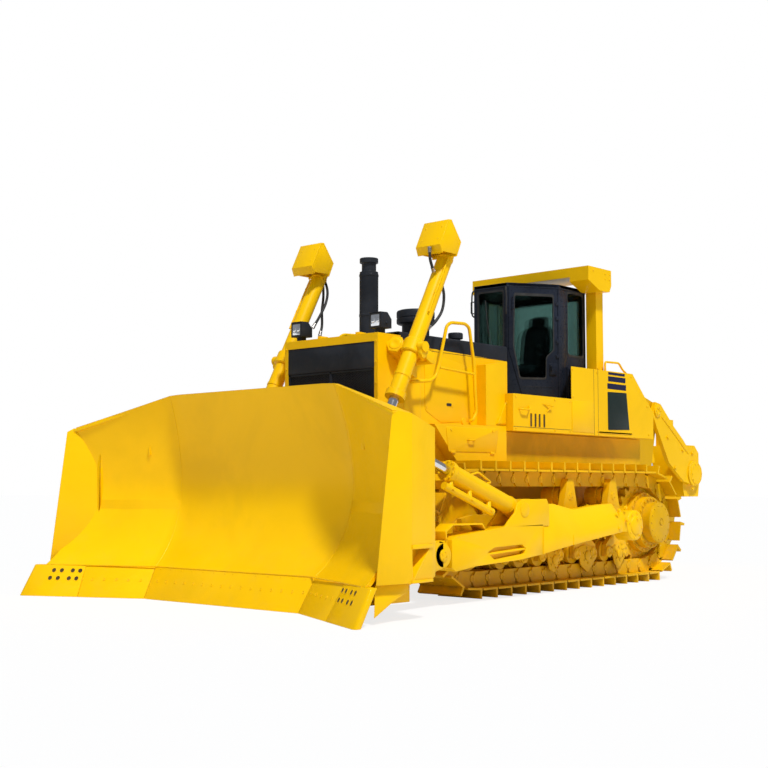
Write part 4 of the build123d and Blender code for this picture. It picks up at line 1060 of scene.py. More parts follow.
@dataclass(frozen=True)
class Hood:
    """Hood's top sheet, side panel fasteners, grab rails, air cleaner, cap, exhaust stack and lamps."""

    half: float = 740.0
    rear: float = 2258.0
    front: float = 4330.0
    top: float = 3026.0
    sheet: float = 15.0
    soft: float = 26.0

    def top_sheet(self) -> None:
        """Bent sheet: a closed section across the hood, run from rear to front with a skirt that shortens."""
        angle = np.linspace(0, math.pi / 2, 6)
        corner = np.stack([np.sin(angle), np.cos(angle)], -1)
        rows = []
        for x, low in ((self.rear, 2836.0), (self.front, 2887.0)):
            right = np.array([self.half, self.top]) - self.soft + self.soft * corner
            inner = right - self.sheet * corner
            outside = np.concatenate([[(-self.half, low)], (right * (-1, 1))[::-1], right,
                                      [(self.half, low)]])
            inside = np.concatenate([[(self.half - self.sheet, low)], inner[::-1], inner * (-1, 1),
                                     [(-self.half + self.sheet, low)]])
            loop = np.concatenate([outside, inside])
            rows.append(np.concatenate([np.full((len(loop), 1), x), loop], 1))
        piece = Piece("hood_sheet", "charcoal").grid(np.array(rows), wrap=True, caps=True)
        piece.blocks([(self.rear, self.rear + 14, -725, 725, 2440, 3012)])
        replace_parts(piece.put(smooth=40), "hood_top")
        # Dark strips: along the sheet's lower side edges, a painted shadow line as well as a joint. Across
        # the top, joint lines.
        seams = Piece("hood_seams_and_shadow_lines", "seam_and_shadow_line")
        rear, front = self.rear + 8, self.front - 4
        seams.blocks([(rear, front, y - 2, y + 2, 2838, 2843) for y in (-self.half, self.half)])
        seams.blocks([(x, x + 5, -700, 700, self.top - 2, self.top + 1.5) for x in (2700.0, 3560.0)])
        seams.put()

    def side_panels(self) -> None:
        """Raised engine doors and guard lids on the sides, with their studs and handles."""
        door = rounded_corners([(3901, 2843), (2905, 2680), (2910, 2125), (3010, 2044), (3589, 1999),
                                (3889, 2139)], 40)
        piece = Piece("engine_doors", "yellow").plates(at_y(door, self.half - 1), (0, 6, 0))
        lid = rounded_corners(boxed(4270, 3960, 2800, 1600), 34)
        piece.plates(at_y(lid, self.half - 1), (0, 5, 0))
        piece.put(both_sides=True, bevel=3)
        studs = at_y([(3375, 2209), (2722, 2195), (2722, 2133), (2723, 2087), (3850, 2790), (2960, 2640),
                      (2960, 2160), (3860, 2180), (4240, 2760), (4240, 1640), (3990, 2760), (3990, 1640)],
                     self.half + 4)
        Piece("door_studs", "yellow").turned(studs, LEFT, cap(15, 8, 2), 16).put(both_sides=True)
        slots = Piece("door_handles", "rubber")
        slots.plates(at_y(rounded_corners(boxed(3490, 3400, 2240, 2206), 12), self.half + 4), (0, 7, 0))
        slots.put(both_sides=True, bevel=2)

    def rails(self) -> None:
        """Bent grab rails beside the hood, each with a rung and two feet."""
        points = [(3161, 2036), (3085, 2142), (3138, 2786), (3218, 3164), (3299, 3202), (3571, 3189),
                  (3650, 3142), (3791, 2685), (3853, 2534), (3945, 2474), (4258, 2439)]
        path = at_y(points, 880.0)
        path = np.concatenate([path[:1] - (0, 138, 0), path, path[-1:] - (0, 138, 0)])
        piece = Piece("grab_rails", "yellow").tube(rounded_corners(path, 38, closed=False), 20.0, 14)
        piece.tube(np.array([(3122, 880, 2604), (3782, 880, 2637.0)]), 16.0)
        piece.turned(np.array([(3161, 742, 2036), (4258, 742, 2439.0)]), LEFT, cap(42, 12), 20)
        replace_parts(piece.put(both_sides=True), "handrails")

    def stacks(self) -> None:
        """Exhaust stack with its neck and open mouth, air cleaner drum with ribs and filler cap."""
        foot = [(3010, 0), (3010, 128), (3040, 128), (3046, 115), (3300, 115)]
        ribs = [(3304, 119), (3330, 119), (3334, 115), (3790, 115), (3794, 119), (3820, 119), (3824, 114)]
        neck = [(3850, 112), (3862, 88), (3948, 88), (3960, 100), (3962, 113), (4014, 113), (4019, 108)]
        mouth = [(4019, 78), (4012, 74), (3400, 74), (3400, 0)]
        stack = Piece("exhaust", "charcoal").turned([(3968, -77, 0)], UP, foot + ribs + neck + mouth, 40)
        stack.turned([(3968, -196, 3317), (3968, -196, 3807)], (0, -1, 0), bolt(11, 10), 6)
        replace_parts(stack.put(), "exhaust_stack")
        foot = [(2960, 0), (2960, 190), (2990, 190), (2996, 172), (3270, 172)]
        bowl = [(3276, 222), (3284, 236), (3300, 240), (3340, 240), (3344, 234), (3356, 234), (3360, 240)]
        lid = [(3425, 240), (3444, 230), (3453, 205), (3453, 60), (3466, 50), (3468, 0)]
        drum = Piece("air_cleaner_drum", "charcoal").turned([(3201, 17, 0)], UP, foot + bowl + lid, 40)
        cap_foot = [(2960, 0), (2960, 78), (3034, 78), (3038, 64), (3108, 64)]
        cap_head = [(3112, 92), (3120, 95), (3176, 95), (3188, 86), (3190, 0)]
        drum.turned([(2750, 296, 0)], UP, cap_foot + cap_head, 28)
        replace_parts(drum.put(), "air_cleaner")

    def lamps(self) -> None:
        """Work lamps on the guard: bevelled housings with cut rear edges, bezels, visors, lenses and feet."""
        side = [(4468, 3042), (4640, 3042), (4640, 3216), (4530, 3216), (4468, 3148)]
        homes = Piece("lamp_housings", "charcoal")
        bezel = Piece("lamp_bezels", "rubber")
        lens = Piece("lamp_lenses", "lens")
        homes.plates(at_y(side, 735.0), (0, -190, 0))
        homes.plates(at_y([(4640, 3216), (4652, 3222), (4530, 3226), (4526, 3216)], 728.0), (0, -176, 0))
        homes.blocks([(4516, 4596, 600, 680, 2976, 3050), (4500, 4612, 585, 695, 2976, 2986)])
        homes.turned(np.array([(4556, 736, 3100.0)]), LEFT, bolt(18, 12), 6)
        glass = rounded_corners(boxed(568, 712, 3058, 3200), 16)
        lens.plates(at_x(glass, 4646.0), (-10, 0, 0))
        for dy in (-34, 34):
            lens.turned([(4640, 640 + dy, 3129)], AHEAD, [(0, 0), (0, 30), (6, 30), (9, 22), (9.5, 0)], 20)
        rim = rounded_corners(boxed(560, 720, 3050, 3208), 18)
        inner = rounded_corners(boxed(574, 706, 3064, 3194), 12)
        stations = ((rim, 4638.0), (rim, 4648.0), (inner, 4648.0), (inner, 4638.0), (rim, 4638.0))
        bezel.grid(np.stack([at_x(outline, x) for outline, x in stations]), wrap=True)
        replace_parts(homes.put(both_sides=True, bevel=7), "work_lamps")
        bezel.put(both_sides=True)
        lens.put(both_sides=True, bevel=4)

    def build(self) -> None:
        """Build everything on the hood."""
        self.top_sheet()
        self.side_panels()
        self.rails()
        self.stacks()
        self.lamps()


@dataclass(frozen=True)
class Grille:
    """Diamond mesh in the radiator guard with its frame, header plate and bolts."""

    face: float = 4693.0
    half: float = 699.0
    low: float = 1500.0
    high: float = 2574.0
    step: float = 46.0
    slope: float = 0.62
    wire: float = 5.0

    def mesh(self) -> None:
        """Two sets of slanted wires clipped to the opening.

        A wire of the slope, up or down, starts at an offset along Y and ends where it meets the sides.
        """
        slope, w = self.slope, self.wire
        rise = (self.high - self.low) / slope
        start = np.arange(-self.half - rise, self.half, self.step)
        y0 = np.clip(start, -self.half, self.half)
        y1 = np.clip(start + rise, -self.half, self.half)
        keep = y1 - y0 > 20
        start, y0, y1 = start[keep], y0[keep], y1[keep]
        z0, z1 = self.low + (y0 - start) * slope, self.low + (y1 - start) * slope
        x = self.face + 0 * y0
        bar = np.stack([np.stack([x, y0, z0 - w], -1), np.stack([x, y1, z1 - w], -1),
                        np.stack([x, y1, z1 + w], -1), np.stack([x, y0, z0 + w], -1)], 1)
        mesh = Piece("grille_mesh", "charcoal").plates(bar, (10, 0, 0))
        mesh.plates((bar - (4, 0, 0)) * MIRROR, (10, 0, 0)).put()

    def frame(self) -> None:
        """Bars round the mesh and down its middle, the header plate and the rivets."""
        bars = Piece("grille_frame", "charcoal")
        f, half, low, high = self.face, self.half, self.low, self.high
        bars.blocks([(f, f + 18, -half, -half + 30, low, high), (f, f + 18, half - 30, half, low, high),
                     (f, f + 18, -half, half, high - 24, high), (f, f + 18, -16, 16, low, high)])
        bars.blocks([(f, f + 26, -half + 2, half - 2, high + 6, 2876)])
        rivets = [(f + 18, y, z) for y in (-684, 684) for z in np.linspace(1560, 2540, 7)]
        bars.turned(rivets, AHEAD, cap(9, 6), 12)
        bars.put(bevel=3)

    def bolts(self) -> None:
        """Bolts down the guard's edges and two lugs on its top."""
        bolts = [(4722, y, z) for y in (-725, 725) for z in np.linspace(1700, 2880, 6)]
        lugs = Piece("guard_bolts", "yellow").turned(bolts, AHEAD, bolt(13, 10), 6)
        lugs.blocks([(4462, 4590, s * 560 - 25, s * 560 + 25, 2975, 3028) for s in (-0.55, 0.55)])
        lugs.put(bevel=2)

    def build(self) -> None:
        """Build the mesh, its frame and the guard's bolts."""
        self.mesh()
        self.frame()
        self.bolts()


@dataclass(frozen=True)
class LiftGear:
    """Dress of the blade's lift cylinders: head guards, hoses, gland bolts, bands, collars and forks."""

    y: float = 1032.0
    top: tuple[float, float] = (3814.0, 3989.0)
    low: tuple[float, float] = (4757.0, 2217.0)
    pin_z: float = 2800.0

    def at(self, distance: float) -> np.ndarray:
        """Point on the cylinder's axis.

        Args:
            distance: Distance from the cylinder's head.

        Returns:
            The point.
        """
        run = unit(np.array(self.low) - self.top)
        x, z = np.array(self.top) + distance * run
        return np.array([x, self.y, z])

    def covers(self) -> None:
        """Bent sheet guards over the cylinders' heads with side plates, a web and bolts."""
        sheet = [(4140, 3905), (4179, 4000), (4023, 4312), (3965, 4318), (3788, 4079), (3869, 3900),
                 (3885, 3907), (3810, 4079), (3970, 4296), (4014, 4292), (4156, 4000), (4122, 3912)]
        web = [(3965, 3935), (4141, 3935), (4167, 4000), (4018, 4302), (3968, 4307), (3799, 4079),
               (3905, 4065)]
        piece = Piece("head_guards", "yellow", Body.LIFT_BARRELS)
        piece.plates(at_y(sheet, self.y + 182), (0, -364, 0))
        piece.plates(at_y(web, self.y + 20), (0, -40, 0))
        side = [(4128, 3925), (4168, 4000), (4018, 4304), (3972, 4308), (3804, 4079), (3876, 3925)]
        piece.plates(np.stack([at_y(side, self.y + 181), at_y(side, self.y - 169)]), (0, -12, 0))
        top, bottom = np.array([(4020, 4306), (4172, 4000)], float)
        spots = np.array([at_y(top + (bottom - top) * share, self.y + y)
                          for share in (0.25, 0.75) for y in (-120, 120)])
        piece.turned(spots, (0.894, 0, 0.448), bolt(14, 9), 6)
        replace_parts(piece.put(both_sides=True, bevel=4), "lift_covers")

    def hoses(self) -> None:
        """Hydraulic hoses beside the barrels, two on each side, with crimped ferrules at both ends."""
        routes = [[(4197, 1075, 3974), (4202, 1085, 3848), (4157, 1080, 3753), (4108, 1060, 3716)],
                  [(3871, 980, 3620), (3817, 975, 3479), (3850, 975, 3299), (3965, 970, 3155),
                   (4101, 965, 3054)],
                  [(3830, 1000, 3929), (3788, 962, 3748), (3819, 955, 3584), (3930, 955, 3396),
                   (4041, 962, 3241)],
                  [(3790, 1045, 3953), (3760, 1060, 3687), (3795, 1050, 3490), (3803, 1040, 3297),
                   (3861, 1020, 3163)]]
        pipes = Piece("lift_hoses", "rubber", Body.LIFT_BARRELS)
        ends = Piece("hose_ferrules", "steel", Body.LIFT_BARRELS)
        ferrule = [(-6, 0), (-6, 24), (14, 24), (16, 21), (60, 21), (60, 0)]
        for k, route in enumerate(routes):
            points = np.array(route, float)
            if k > 1:
                points = points * MIRROR
            pipes.tube(curve_through(points, 10), 17.0, 12)
            for end, inside in ((points[0], points[1]), (points[-1], points[-2])):
                ends.turned([end], inside - end, ferrule, 12)
        pipes.put()
        ends.put()

    def fittings(self) -> None:
        """Gland bolts, bands, oil pipes and their clips."""
        axis = self.at(1) - self.at(0)
        length = float(np.linalg.norm(np.array(self.low) - self.top))
        side, up = across(axis[None])
        angle = np.arange(12) * math.pi / 6 + 0.2
        ring = np.cos(angle)[:, None] * side + np.sin(angle)[:, None] * up
        piece = Piece("lift_fittings", "yellow", Body.LIFT_BARRELS)
        piece.turned(self.at(length - 70) + 106 * ring, -axis, bolt(12, 12), 6)
        piece.turned([self.at(0)], axis, band(100, 124, 90, 99), 32)
        piece.turned([self.at(0)], axis, band(length - 300, length - 270, 90, 98), 32)
        pipe = np.array([self.at(150) + (46, 96, 24), self.at(400) + (46, 100, 24),
                         self.at(900) + (46, 100, 24)])
        piece.tube(pipe, 12.0, 10)
        clips = np.array([self.at(d) + (46, 92, 24) for d in (300.0, 640.0)])
        piece.turned(clips, LEFT, bolt(17, 16), 6)
        piece.put(both_sides=True)

    def yokes(self) -> None:
        """Cast forks on the guard: inner arm with a hexagonal cap, rear bridge, outer ear and pin stubs."""
        share = (self.top[1] - self.pin_z) / (self.top[1] - self.low[1])
        x, z = self.top[0] + share * (self.low[0] - self.top[0]), self.pin_z
        piece = Piece("yoke_forks", "yellow")
        arm = rounded_corners([(4215, 2470), (4210, 2790), (x - 90, z + 70), (x - 10, z + 92),
                               (x + 70, z + 50), (x + 84, z - 40), (x - 30, z - 110), (4330, 2520)], 34)
        piece.plates(at_y(arm, 742.0), (0, 158, 0))
        ear = rounded_corners([(x - 74, z - 70), (x - 56, z + 30), (x - 6, z + 54), (x + 50, z + 26),
                               (x + 58, z - 90), (x + 4, z - 140)], 26)
        piece.plates(at_y(ear, 1152.0), (0, 52, 0))
        bridge = rounded_corners([(4222, 2620), (4228, 2750), (4296, 2740), (4308, 2640)], 24)
        piece.plates(at_y(bridge, 860.0), (0, 310, 0))
        stay = rounded_corners([(4222, 2620), (4228, 2750), (x - 50, z - 10), (x - 20, z - 90),
                                (4300, 2630)], 20)
        piece.plates(at_y(stay, 1140.0), (0, 34, 0))
        piece.turned([(x, 880, z), (x, 1126, z)], LEFT, disc(62, 0, 56), 28)
        piece.turned([(x, 1204, z)], LEFT, [(-2, 0), (-2, 56), (12, 56), (18, 46), (18, 0)], 28)
        face, seat = (0.84, 0.36, 0.40), [(x + 36, 822, z + 30)]
        piece.turned(seat, face, [(-70, 0), (-70, 112), (54, 112), (62, 102), (62, 0)], 6)
        piece.turned(seat, face, [(50, 0), (50, 74), (66, 74), (70, 66), (70, 34), (66, 28), (66, 0)], 28)
        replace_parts(piece.put(both_sides=True, bevel=6), "lift_yokes")
        collars = Piece("barrel_collars", "yellow", Body.LIFT_BARRELS)
        middle = math.dist(self.top, (x, z))
        axis = self.at(1) - self.at(0)
        sleeve = [(-84, 90), (-84, 108), (-70, 118), (70, 118), (84, 108), (84, 90), (-84, 90)]
        collars.turned([self.at(middle)], axis, sleeve, 36)
        collars.put(both_sides=True)

    def build(self) -> None:
        """Build the lift cylinders' dress."""
        self.covers()
        self.hoses()
        self.fittings()
        self.yokes()


@dataclass(frozen=True)
class Cab:
    """Six-sided cab: framed walls with rounded windows, two hinged doors, roof, louvre boxes and fittings."""

    front: tuple[float, float] = (1614.0, 280.0)
    side: tuple[float, float] = (998.0, 688.0)
    rear: float = 345.0
    floor: float = 2405.0
    roof: float = 3985.0
    wall: float = 42.0
    corner: float = 36.0
    side_window: tuple[float, float, float, float] = (395.0, 793.0, 3035.0, 3910.0)
    front_window: tuple[float, float] = (3115.0, 3890.0)
    rear_window: tuple[float, float] = (2990.0, 3860.0)

    def door_point(self, points: np.ndarray, depth: float = 0.0) -> np.ndarray:
        """Points of the left door's plane: front corner + distance × direction - depth × outward direction.

        Args:
            points: Distances along the wall and heights, in rows.
            depth: Depth behind the wall's face.

        Returns:
            The points, in rows of X, Y and Z.
        """
        p = np.asarray(points, float)
        run = unit(np.subtract(self.side, self.front))
        out = np.array((run[1], -run[0]))
        plan = np.array(self.front) + p[..., :1] * run - depth * out
        return np.concatenate([plan, p[..., 1:]], -1)

    @property
    def span(self) -> float:
        """Length of the door's wall."""
        return math.dist(self.front, self.side)

    def leaf(self) -> tuple[np.ndarray, np.ndarray]:
        """Door leaf's outline and its window's outline, with matching corners.

        Returns:
            Both outlines, in distances along the wall and heights.
        """
        s, right = self.span - 22, self.span - 80
        outer = [(16, 3935), (16, 3072), (214, 2427), (s, 2427), (s, 2990), (s, 3085), (s, 3935)]
        inner = [(100, 3830), (84, 3130), (170, 2699), (right - 115, 2699), (right - 108, 2990),
                 (right, 3085), (right, 3830)]
        return rounded_corners(outer, 14), rounded_corners(inner, self.corner)

    def walls(self) -> None:
        """Walls round the windows, floor, roof with a drip rim, and louvre boxes with slats."""
        run = unit(np.subtract(self.side, self.front))
        inward = np.array((-run[1] * self.wall, run[0] * self.wall, 0))
        half = Piece("cab_walls", "cab")
        outer = rounded_corners([(0, self.roof), (0, 3069), (0, self.floor), (self.span, self.floor),
                                 (self.span, self.roof)], 2)
        inner = rounded_corners([(10, 3941), (10, 3069), (207, 2421), (self.span - 16, 2421),
                                 (self.span - 16, 3941)], 14)
        half.framed(self.door_point(outer), self.door_point(inner), inward)
        y = self.side[1]
        wide = rounded_corners(boxed(self.rear, self.side[0], self.floor, self.roof), 2)
        gap = rounded_corners(boxed(*self.side_window), 62)
        half.framed(at_y(wide, y), at_y(gap, y), (0, -self.wall, 0))
        half.blocks([(698, 848, y - 2, y + 46, 2450, 2870)])
        half.blocks([(706, 840, y + 44, y + 54, z, z + 12) for z in np.linspace(2474, 2834, 13)])
        half.put(both_sides=True, bevel=4)
        ends = Piece("cab_ends", "cab")
        front_wall = (self.front[0], self.front[1], 60, self.front_window, -self.wall)
        rear_wall = (self.rear, self.side[1], 110, self.rear_window, self.wall)
        for x, reach, post, (low, high), depth in (front_wall, rear_wall):
            plan = rounded_corners(boxed(-reach, reach, self.floor, self.roof), 2)
            hole = rounded_corners(boxed(post - reach, reach - post, low, high), 40)
            ends.framed(at_x(plan, x), at_x(hole, x), (depth, 0, 0))
        for grow, low, high in ((0, 3915, 3985), (9, 3925, 3944), (-8, self.floor, 2421)):
            f, s, r = self.front[0] + grow, self.side[1] + grow, self.rear - grow
            knee, reach = self.side[0] + grow / 2, self.front[1]
            plan = rounded_corners([(f, -reach), (f, reach), (knee, s), (r, s), (r, -s), (knee, -s)], 16)
            ends.plates(np.insert(plan, 2, low, axis=1), (0, 0, high - low))
        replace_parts(ends.put(bevel=5), "cab_frame")

    def doors(self) -> None:
        """Door leaves with rubber seals, latches, grab handles, hinges and panes."""
        outer, inner = self.leaf()
        run = unit(np.subtract(self.side, self.front))
        inward = np.array((-run[1], run[0], 0))
        for side, body, name in ((1, Body.DOOR_LEFT, "left"), (-1, Body.DOOR_RIGHT, "right")):
            flip = np.array((1, side, 1))
            leaf = Piece("door_leaf_" + name, "cab", body)
            leaf.framed(self.door_point(outer, -2) * flip, self.door_point(inner, -2) * flip,
                        38 * inward * flip)
            latch = rounded_corners(boxed(592, 694, 2903, 2751), 16)
            leaf.plates(self.door_point(latch, -2) * flip, -16 * inward * flip)
            for z in (3741.0, 3545.0, 3229.0, 3025.0):
                hinge = rounded_corners(boxed(690, 736, z, z - 44), 8)
                leaf.plates(self.door_point(hinge, -2) * flip, -18 * inward * flip)
            crease = np.array([(216, 2594), (654, 2594), (654, 2586), (216, 2586)])
            leaf.plates(self.door_point(crease, -1) * flip, -4 * inward * flip)
            grab = self.door_point([(69, 3621), (69, 3621), (69, 3782), (69, 3782)])
            grab[1:3] -= 46 * inward
            leaf.tube(rounded_corners(grab * flip, 14, closed=False), 8.0)
            latch_grip = self.door_point([(612, 2800), (612, 2800), (612, 2870), (612, 2870)], -14)
            latch_grip[1:3] -= 30 * inward
            leaf.tube(rounded_corners(latch_grip * flip, 10, closed=False), 7.0)
            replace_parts(leaf.put(bevel=3), "cab_door_" + name)
            seal = Piece("door_seal_" + name, "rubber", body)
            centre = inner.mean(axis=0)
            wide = centre + (inner - centre) * 1.03
            slim = centre + (inner - centre) * 0.975
            seal.framed(self.door_point(wide, -5) * flip, self.door_point(slim, -5) * flip,
                        20 * inward * flip)
            seal.put()
            pane = Piece("door_pane_" + name, "glass", body)
            pane.plates(self.door_point(centre + (inner - centre) * 1.02, 15) * flip, 6 * inward * flip)
            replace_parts(pane.put(), "door_glass_" + name)

    def panes(self) -> None:
        """Fixed panes with seals, and the wiper on the front pane."""
        glass, seals = Piece("fixed_panes", "glass"), Piece("window_seals", "rubber")
        y = self.side[1]
        gap = np.array(boxed(*self.side_window), float)
        centre = gap.mean(axis=0)
        for side in (1, -1):
            flip = np.array((1, side, 1))
            pane = rounded_corners(centre + (gap - centre) * 1.03, 60)
            wide = rounded_corners(centre + (gap - centre) * 1.04, 60)
            slim = rounded_corners(centre + (gap - centre) * 0.965, 58)
            glass.plates(at_y(pane, y - 18) * flip, (0, -6 * side, 0))
            seals.framed(at_y(wide, y + 3) * flip, at_y(slim, y + 3) * flip, (0, -20 * side, 0))
        for x, half, (low, high), step in ((self.front[0] - 18, 226, self.front_window, -6),
                                           (self.rear + 18, 584, self.rear_window, 6)):
            low, high, lip, out = low - 6, high + 6, 22, 20 if step < 0 else -20
            sheet = rounded_corners(boxed(-half, half, low, high), 40)
            glass.plates(at_x(sheet, x), (step, 0, 0))
            slim = rounded_corners(boxed(lip - half, half - lip, low + lip, high - lip), 34)
            seals.framed(at_x(sheet, x + out), at_x(slim, x + out), (-out, 0, 0))
        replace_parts(glass.put(), "cab_glass")
        x = self.front[0] + 8
        seals.tube(np.array([(x, 40, 3100), (x + 18, 30, 3140), (x + 4, -60, 3560.0)]), 5.0)
        seals.tube(np.array([(x + 2, -40, 3330), (x + 2, -78, 3780.0)]), 7.0)
        seals.put()

    def fittings(self) -> None:
        """Grab bars on the front posts."""
        bar = Piece("cab_bars", "rubber")
        path = [(1626, 270, 3560), (1652, 286, 3600), (1650, 292, 3770), (1648, 282, 3890),
                (1622, 262, 3925.0)]
        bar.tube(curve_through(path, 8), 11.0)
        bar.put(both_sides=True)

    def inside(self) -> None:
        """Driver's seat with cushions, head rest, armrests, levers and a console with its screen."""
        floor = self.floor + 16
        cushions = Piece("seat_cushions", "seat")
        for centre, size, tilt in (((800, 0, 2860), (270, 262, 78), 0.05),
                                   ((540, 0, 3190), (86, 250, 330), -0.16),
                                   ((482, 0, 3560), (58, 150, 92), -0.12)):
            cushions.pillow(centre, size, tilt)
        for side in (1, -1):
            cushions.pillow((790, side * 330, 3040), (190, 46, 34), 0.0)
        padding = cushions.put(smooth=60)
        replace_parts(padding, "operator_seat")
        frame_work = Piece("seat_base", "cab")
        column = [(0, 0), (0, 210), (30, 210), (40, 150), (60, 120), (320, 120), (330, 180), (360, 190),
                  (360, 0)]
        frame_work.turned([(800, 0, floor - 2)], UP, column, 32)
        frame_work.blocks([(700, 860, s * 330 - 20, s * 330 + 20, 2780, 3010) for s in (-1, 1)])
        dash = [(1250, floor), (1490, floor), (1490, 3000), (1360, 3060), (1290, 2900)]
        frame_work.plates(at_y(dash, 200.0), (0, -400, 0))
        frame_work.blocks([(560, 1080, 262, 400, floor, 2760), (560, 1080, -400, -262, floor, 2760)])
        frame_work.put(bevel=8)
        levers = Piece("levers", "rubber")
        knob = [(0, 0), (0, 22), (30, 34), (70, 36), (96, 24), (100, 0)]
        for y in (-330, 330):
            levers.tube(np.array([(960, y, 2760), (985, y, 2950), (975, y, 3110.0)]), 11.0)
            levers.turned([(974, y, 3100)], UP, knob, 20)
        screen = rounded_corners(boxed(-110, 110, 3000, 3120), 14)
        levers.plates(at_x(screen, 1352.0), (26, 0, 0))
        levers.put(bevel=3)

    def build(self) -> None:
        """Build the cab."""
        self.walls()
        self.doors()
        self.panes()
        self.fittings()
        self.inside()


@dataclass(frozen=True)
class Flanks:
    """Dress of the deck, tank and side boxes: stripes, blank plate, slots painted as dark shade, doors, rails
    and bolts.
    """

    y: float = 1000.0
    box_y: float = 900.0

    def stripes(self) -> None:
        """Three slanted stripes and a blank plate on each side of the tank."""
        y = self.y
        stripes = Piece("stripes", "navy")
        for x0, x1, low, high in ((270, -160, 2792, 2828), (275, -175, 2700, 2770),
                                  (295, -190, 2595, 2672)):
            stripes.plates(at_y([(x0, low), (x0, high), (x1 - 6, high), (x1, low)], y - 1), (0, 3, 0))
        stripes.put(both_sides=True)
        plate = rounded_corners([(295, 2552), (-198, 2564), (-267, 2049), (292, 2029)], 14)
        Piece("blank_plates", "panel").plates(at_y(plate, y - 1), (0, 5, 0)).put(both_sides=True, bevel=2)

    def deck_trim(self) -> None:
        """Slots painted as dark sheets of shade within rims, raised sheets, handles, bolts, a guard loop and
        the seams between the boxes.
        """
        y = self.y
        # The slots are thin dark sheets on the face: painted shade in place of openings.
        slots, rims = Piece("deck_slot_shade", "hole"), Piece("deck_rims", "yellow")
        for x in (1826.0, 1929.0, 2020.0, 2116.0):
            gap = rounded_corners(boxed(x - 20, x + 20, 2004, 2172), 12)
            slots.plates(at_y(gap, y - 4), (0, 5, 0))
            wide = rounded_corners(boxed(x - 27, x + 27, 1997, 2179), 14)
            rims.framed(at_y(wide, y + 5), at_y(gap, y + 5), (0, -7, 0))
        slots.put(both_sides=True)
        for span in ((650, 1180, 1975, 2390), (-320, 520, 1975, 2010)):
            rims.plates(at_y(rounded_corners(boxed(*span), 24), y - 1), (0, 5, 0))
        rims.plates(at_y([(2487, 2309), (2685, 2021), (2504, 2028), (2505, 2280)], self.box_y + 2),
                    (0, -24, 0))
        handle = at_y([(2376, 2217), (2340, 2212), (2215, 2209), (2134, 2261)], y - 2)
        handle[1:3] += (0, 52, 0)
        rims.tube(rounded_corners(handle, 22, closed=False), 10.0)
        hoop = at_y([(1857, 2307), (1689, 2283), (1689, 2283), (1761, 2207)], y - 2)
        hoop[1:3] += (0, 40, 0)
        rims.tube(curve_through(hoop, 8), 8.0)
        bolts = [(1230, 2370), (1230, 1980), (1580, 2370), (1580, 1980), (2440, 2370), (2440, 1980),
                 (560, 2800), (560, 2000), (-330, 2800), (-330, 2000), (1150, 2800), (1150, 2440),
                 (-760, 2400), (-800, 2000)]
        rims.turned(at_y(bolts, y - 1), LEFT, bolt(13, 10), 6)
        loop = at_y([(186, 2846), (186, 2981), (-176, 2991), (-274, 2901), (-392, 2846)], self.box_y)
        rims.tube(rounded_corners(loop, 40, closed=False), 15.0)
        rims.put(both_sides=True, bevel=2)
        seams = Piece("flank_seams", "seam_and_shadow_line")
        seams.blocks([(x - 3, x + 3, y - 2, y + 1.5, 1945, 2840) for x in (640.0, 536.0)])
        seams.blocks([(1194, 2494, y - 2, y + 1.5, 1992, 1997)])
        seams.put(both_sides=True)

    def box_doors(self) -> None:
        """Doors of the side boxes with their locks, grips and hinges."""
        y = self.box_y
        doors = Piece("box_doors", "yellow")
        lid = rounded_corners([(3696, 1946), (3651, 1655), (2723, 1666), (2669, 1965)], 26)
        doors.plates(at_y(lid, y - 1), (0, 7, 0))
        doors.turned(at_y([(2790, 1930), (3600, 1918)], y + 5), LEFT, cap(18, 8, 2), 20)
        grip = at_y([(3290, 1800), (3290, 1800), (3180, 1800), (3180, 1800)], y + 4)
        grip[1:3] += (0, 40, 0)
        doors.tube(rounded_corners(grip, 14, closed=False), 9.0)
        for x in (2800.0, 3570.0):
            doors.blocks([(x - 40, x + 40, y - 2, y + 14, 1640, 1668)])
        doors.put(both_sides=True, bevel=3)

    def canopy_bolts(self) -> None:
        """Bolts at the feet and the heads of the roll-over frame's posts."""
        piece = Piece("canopy_bolts", "yellow")
        feet = [(x, y, 2868) for x in (150.0, 330.0) for y in (672.0, 880.0)]
        heads = at_y([(190, 4190), (300, 4190), (600, 4200), (190, 4120), (300, 4120)], 990.0)
        piece.turned(feet, UP, bolt(16, 14), 6).turned(heads, LEFT, bolt(13, 8), 6)
        piece.put(both_sides=True)

    def build(self) -> None:
        """Build all trim on the machine's flanks."""
        self.stripes()
        self.deck_trim()
        self.box_doors()
        self.canopy_bolts()


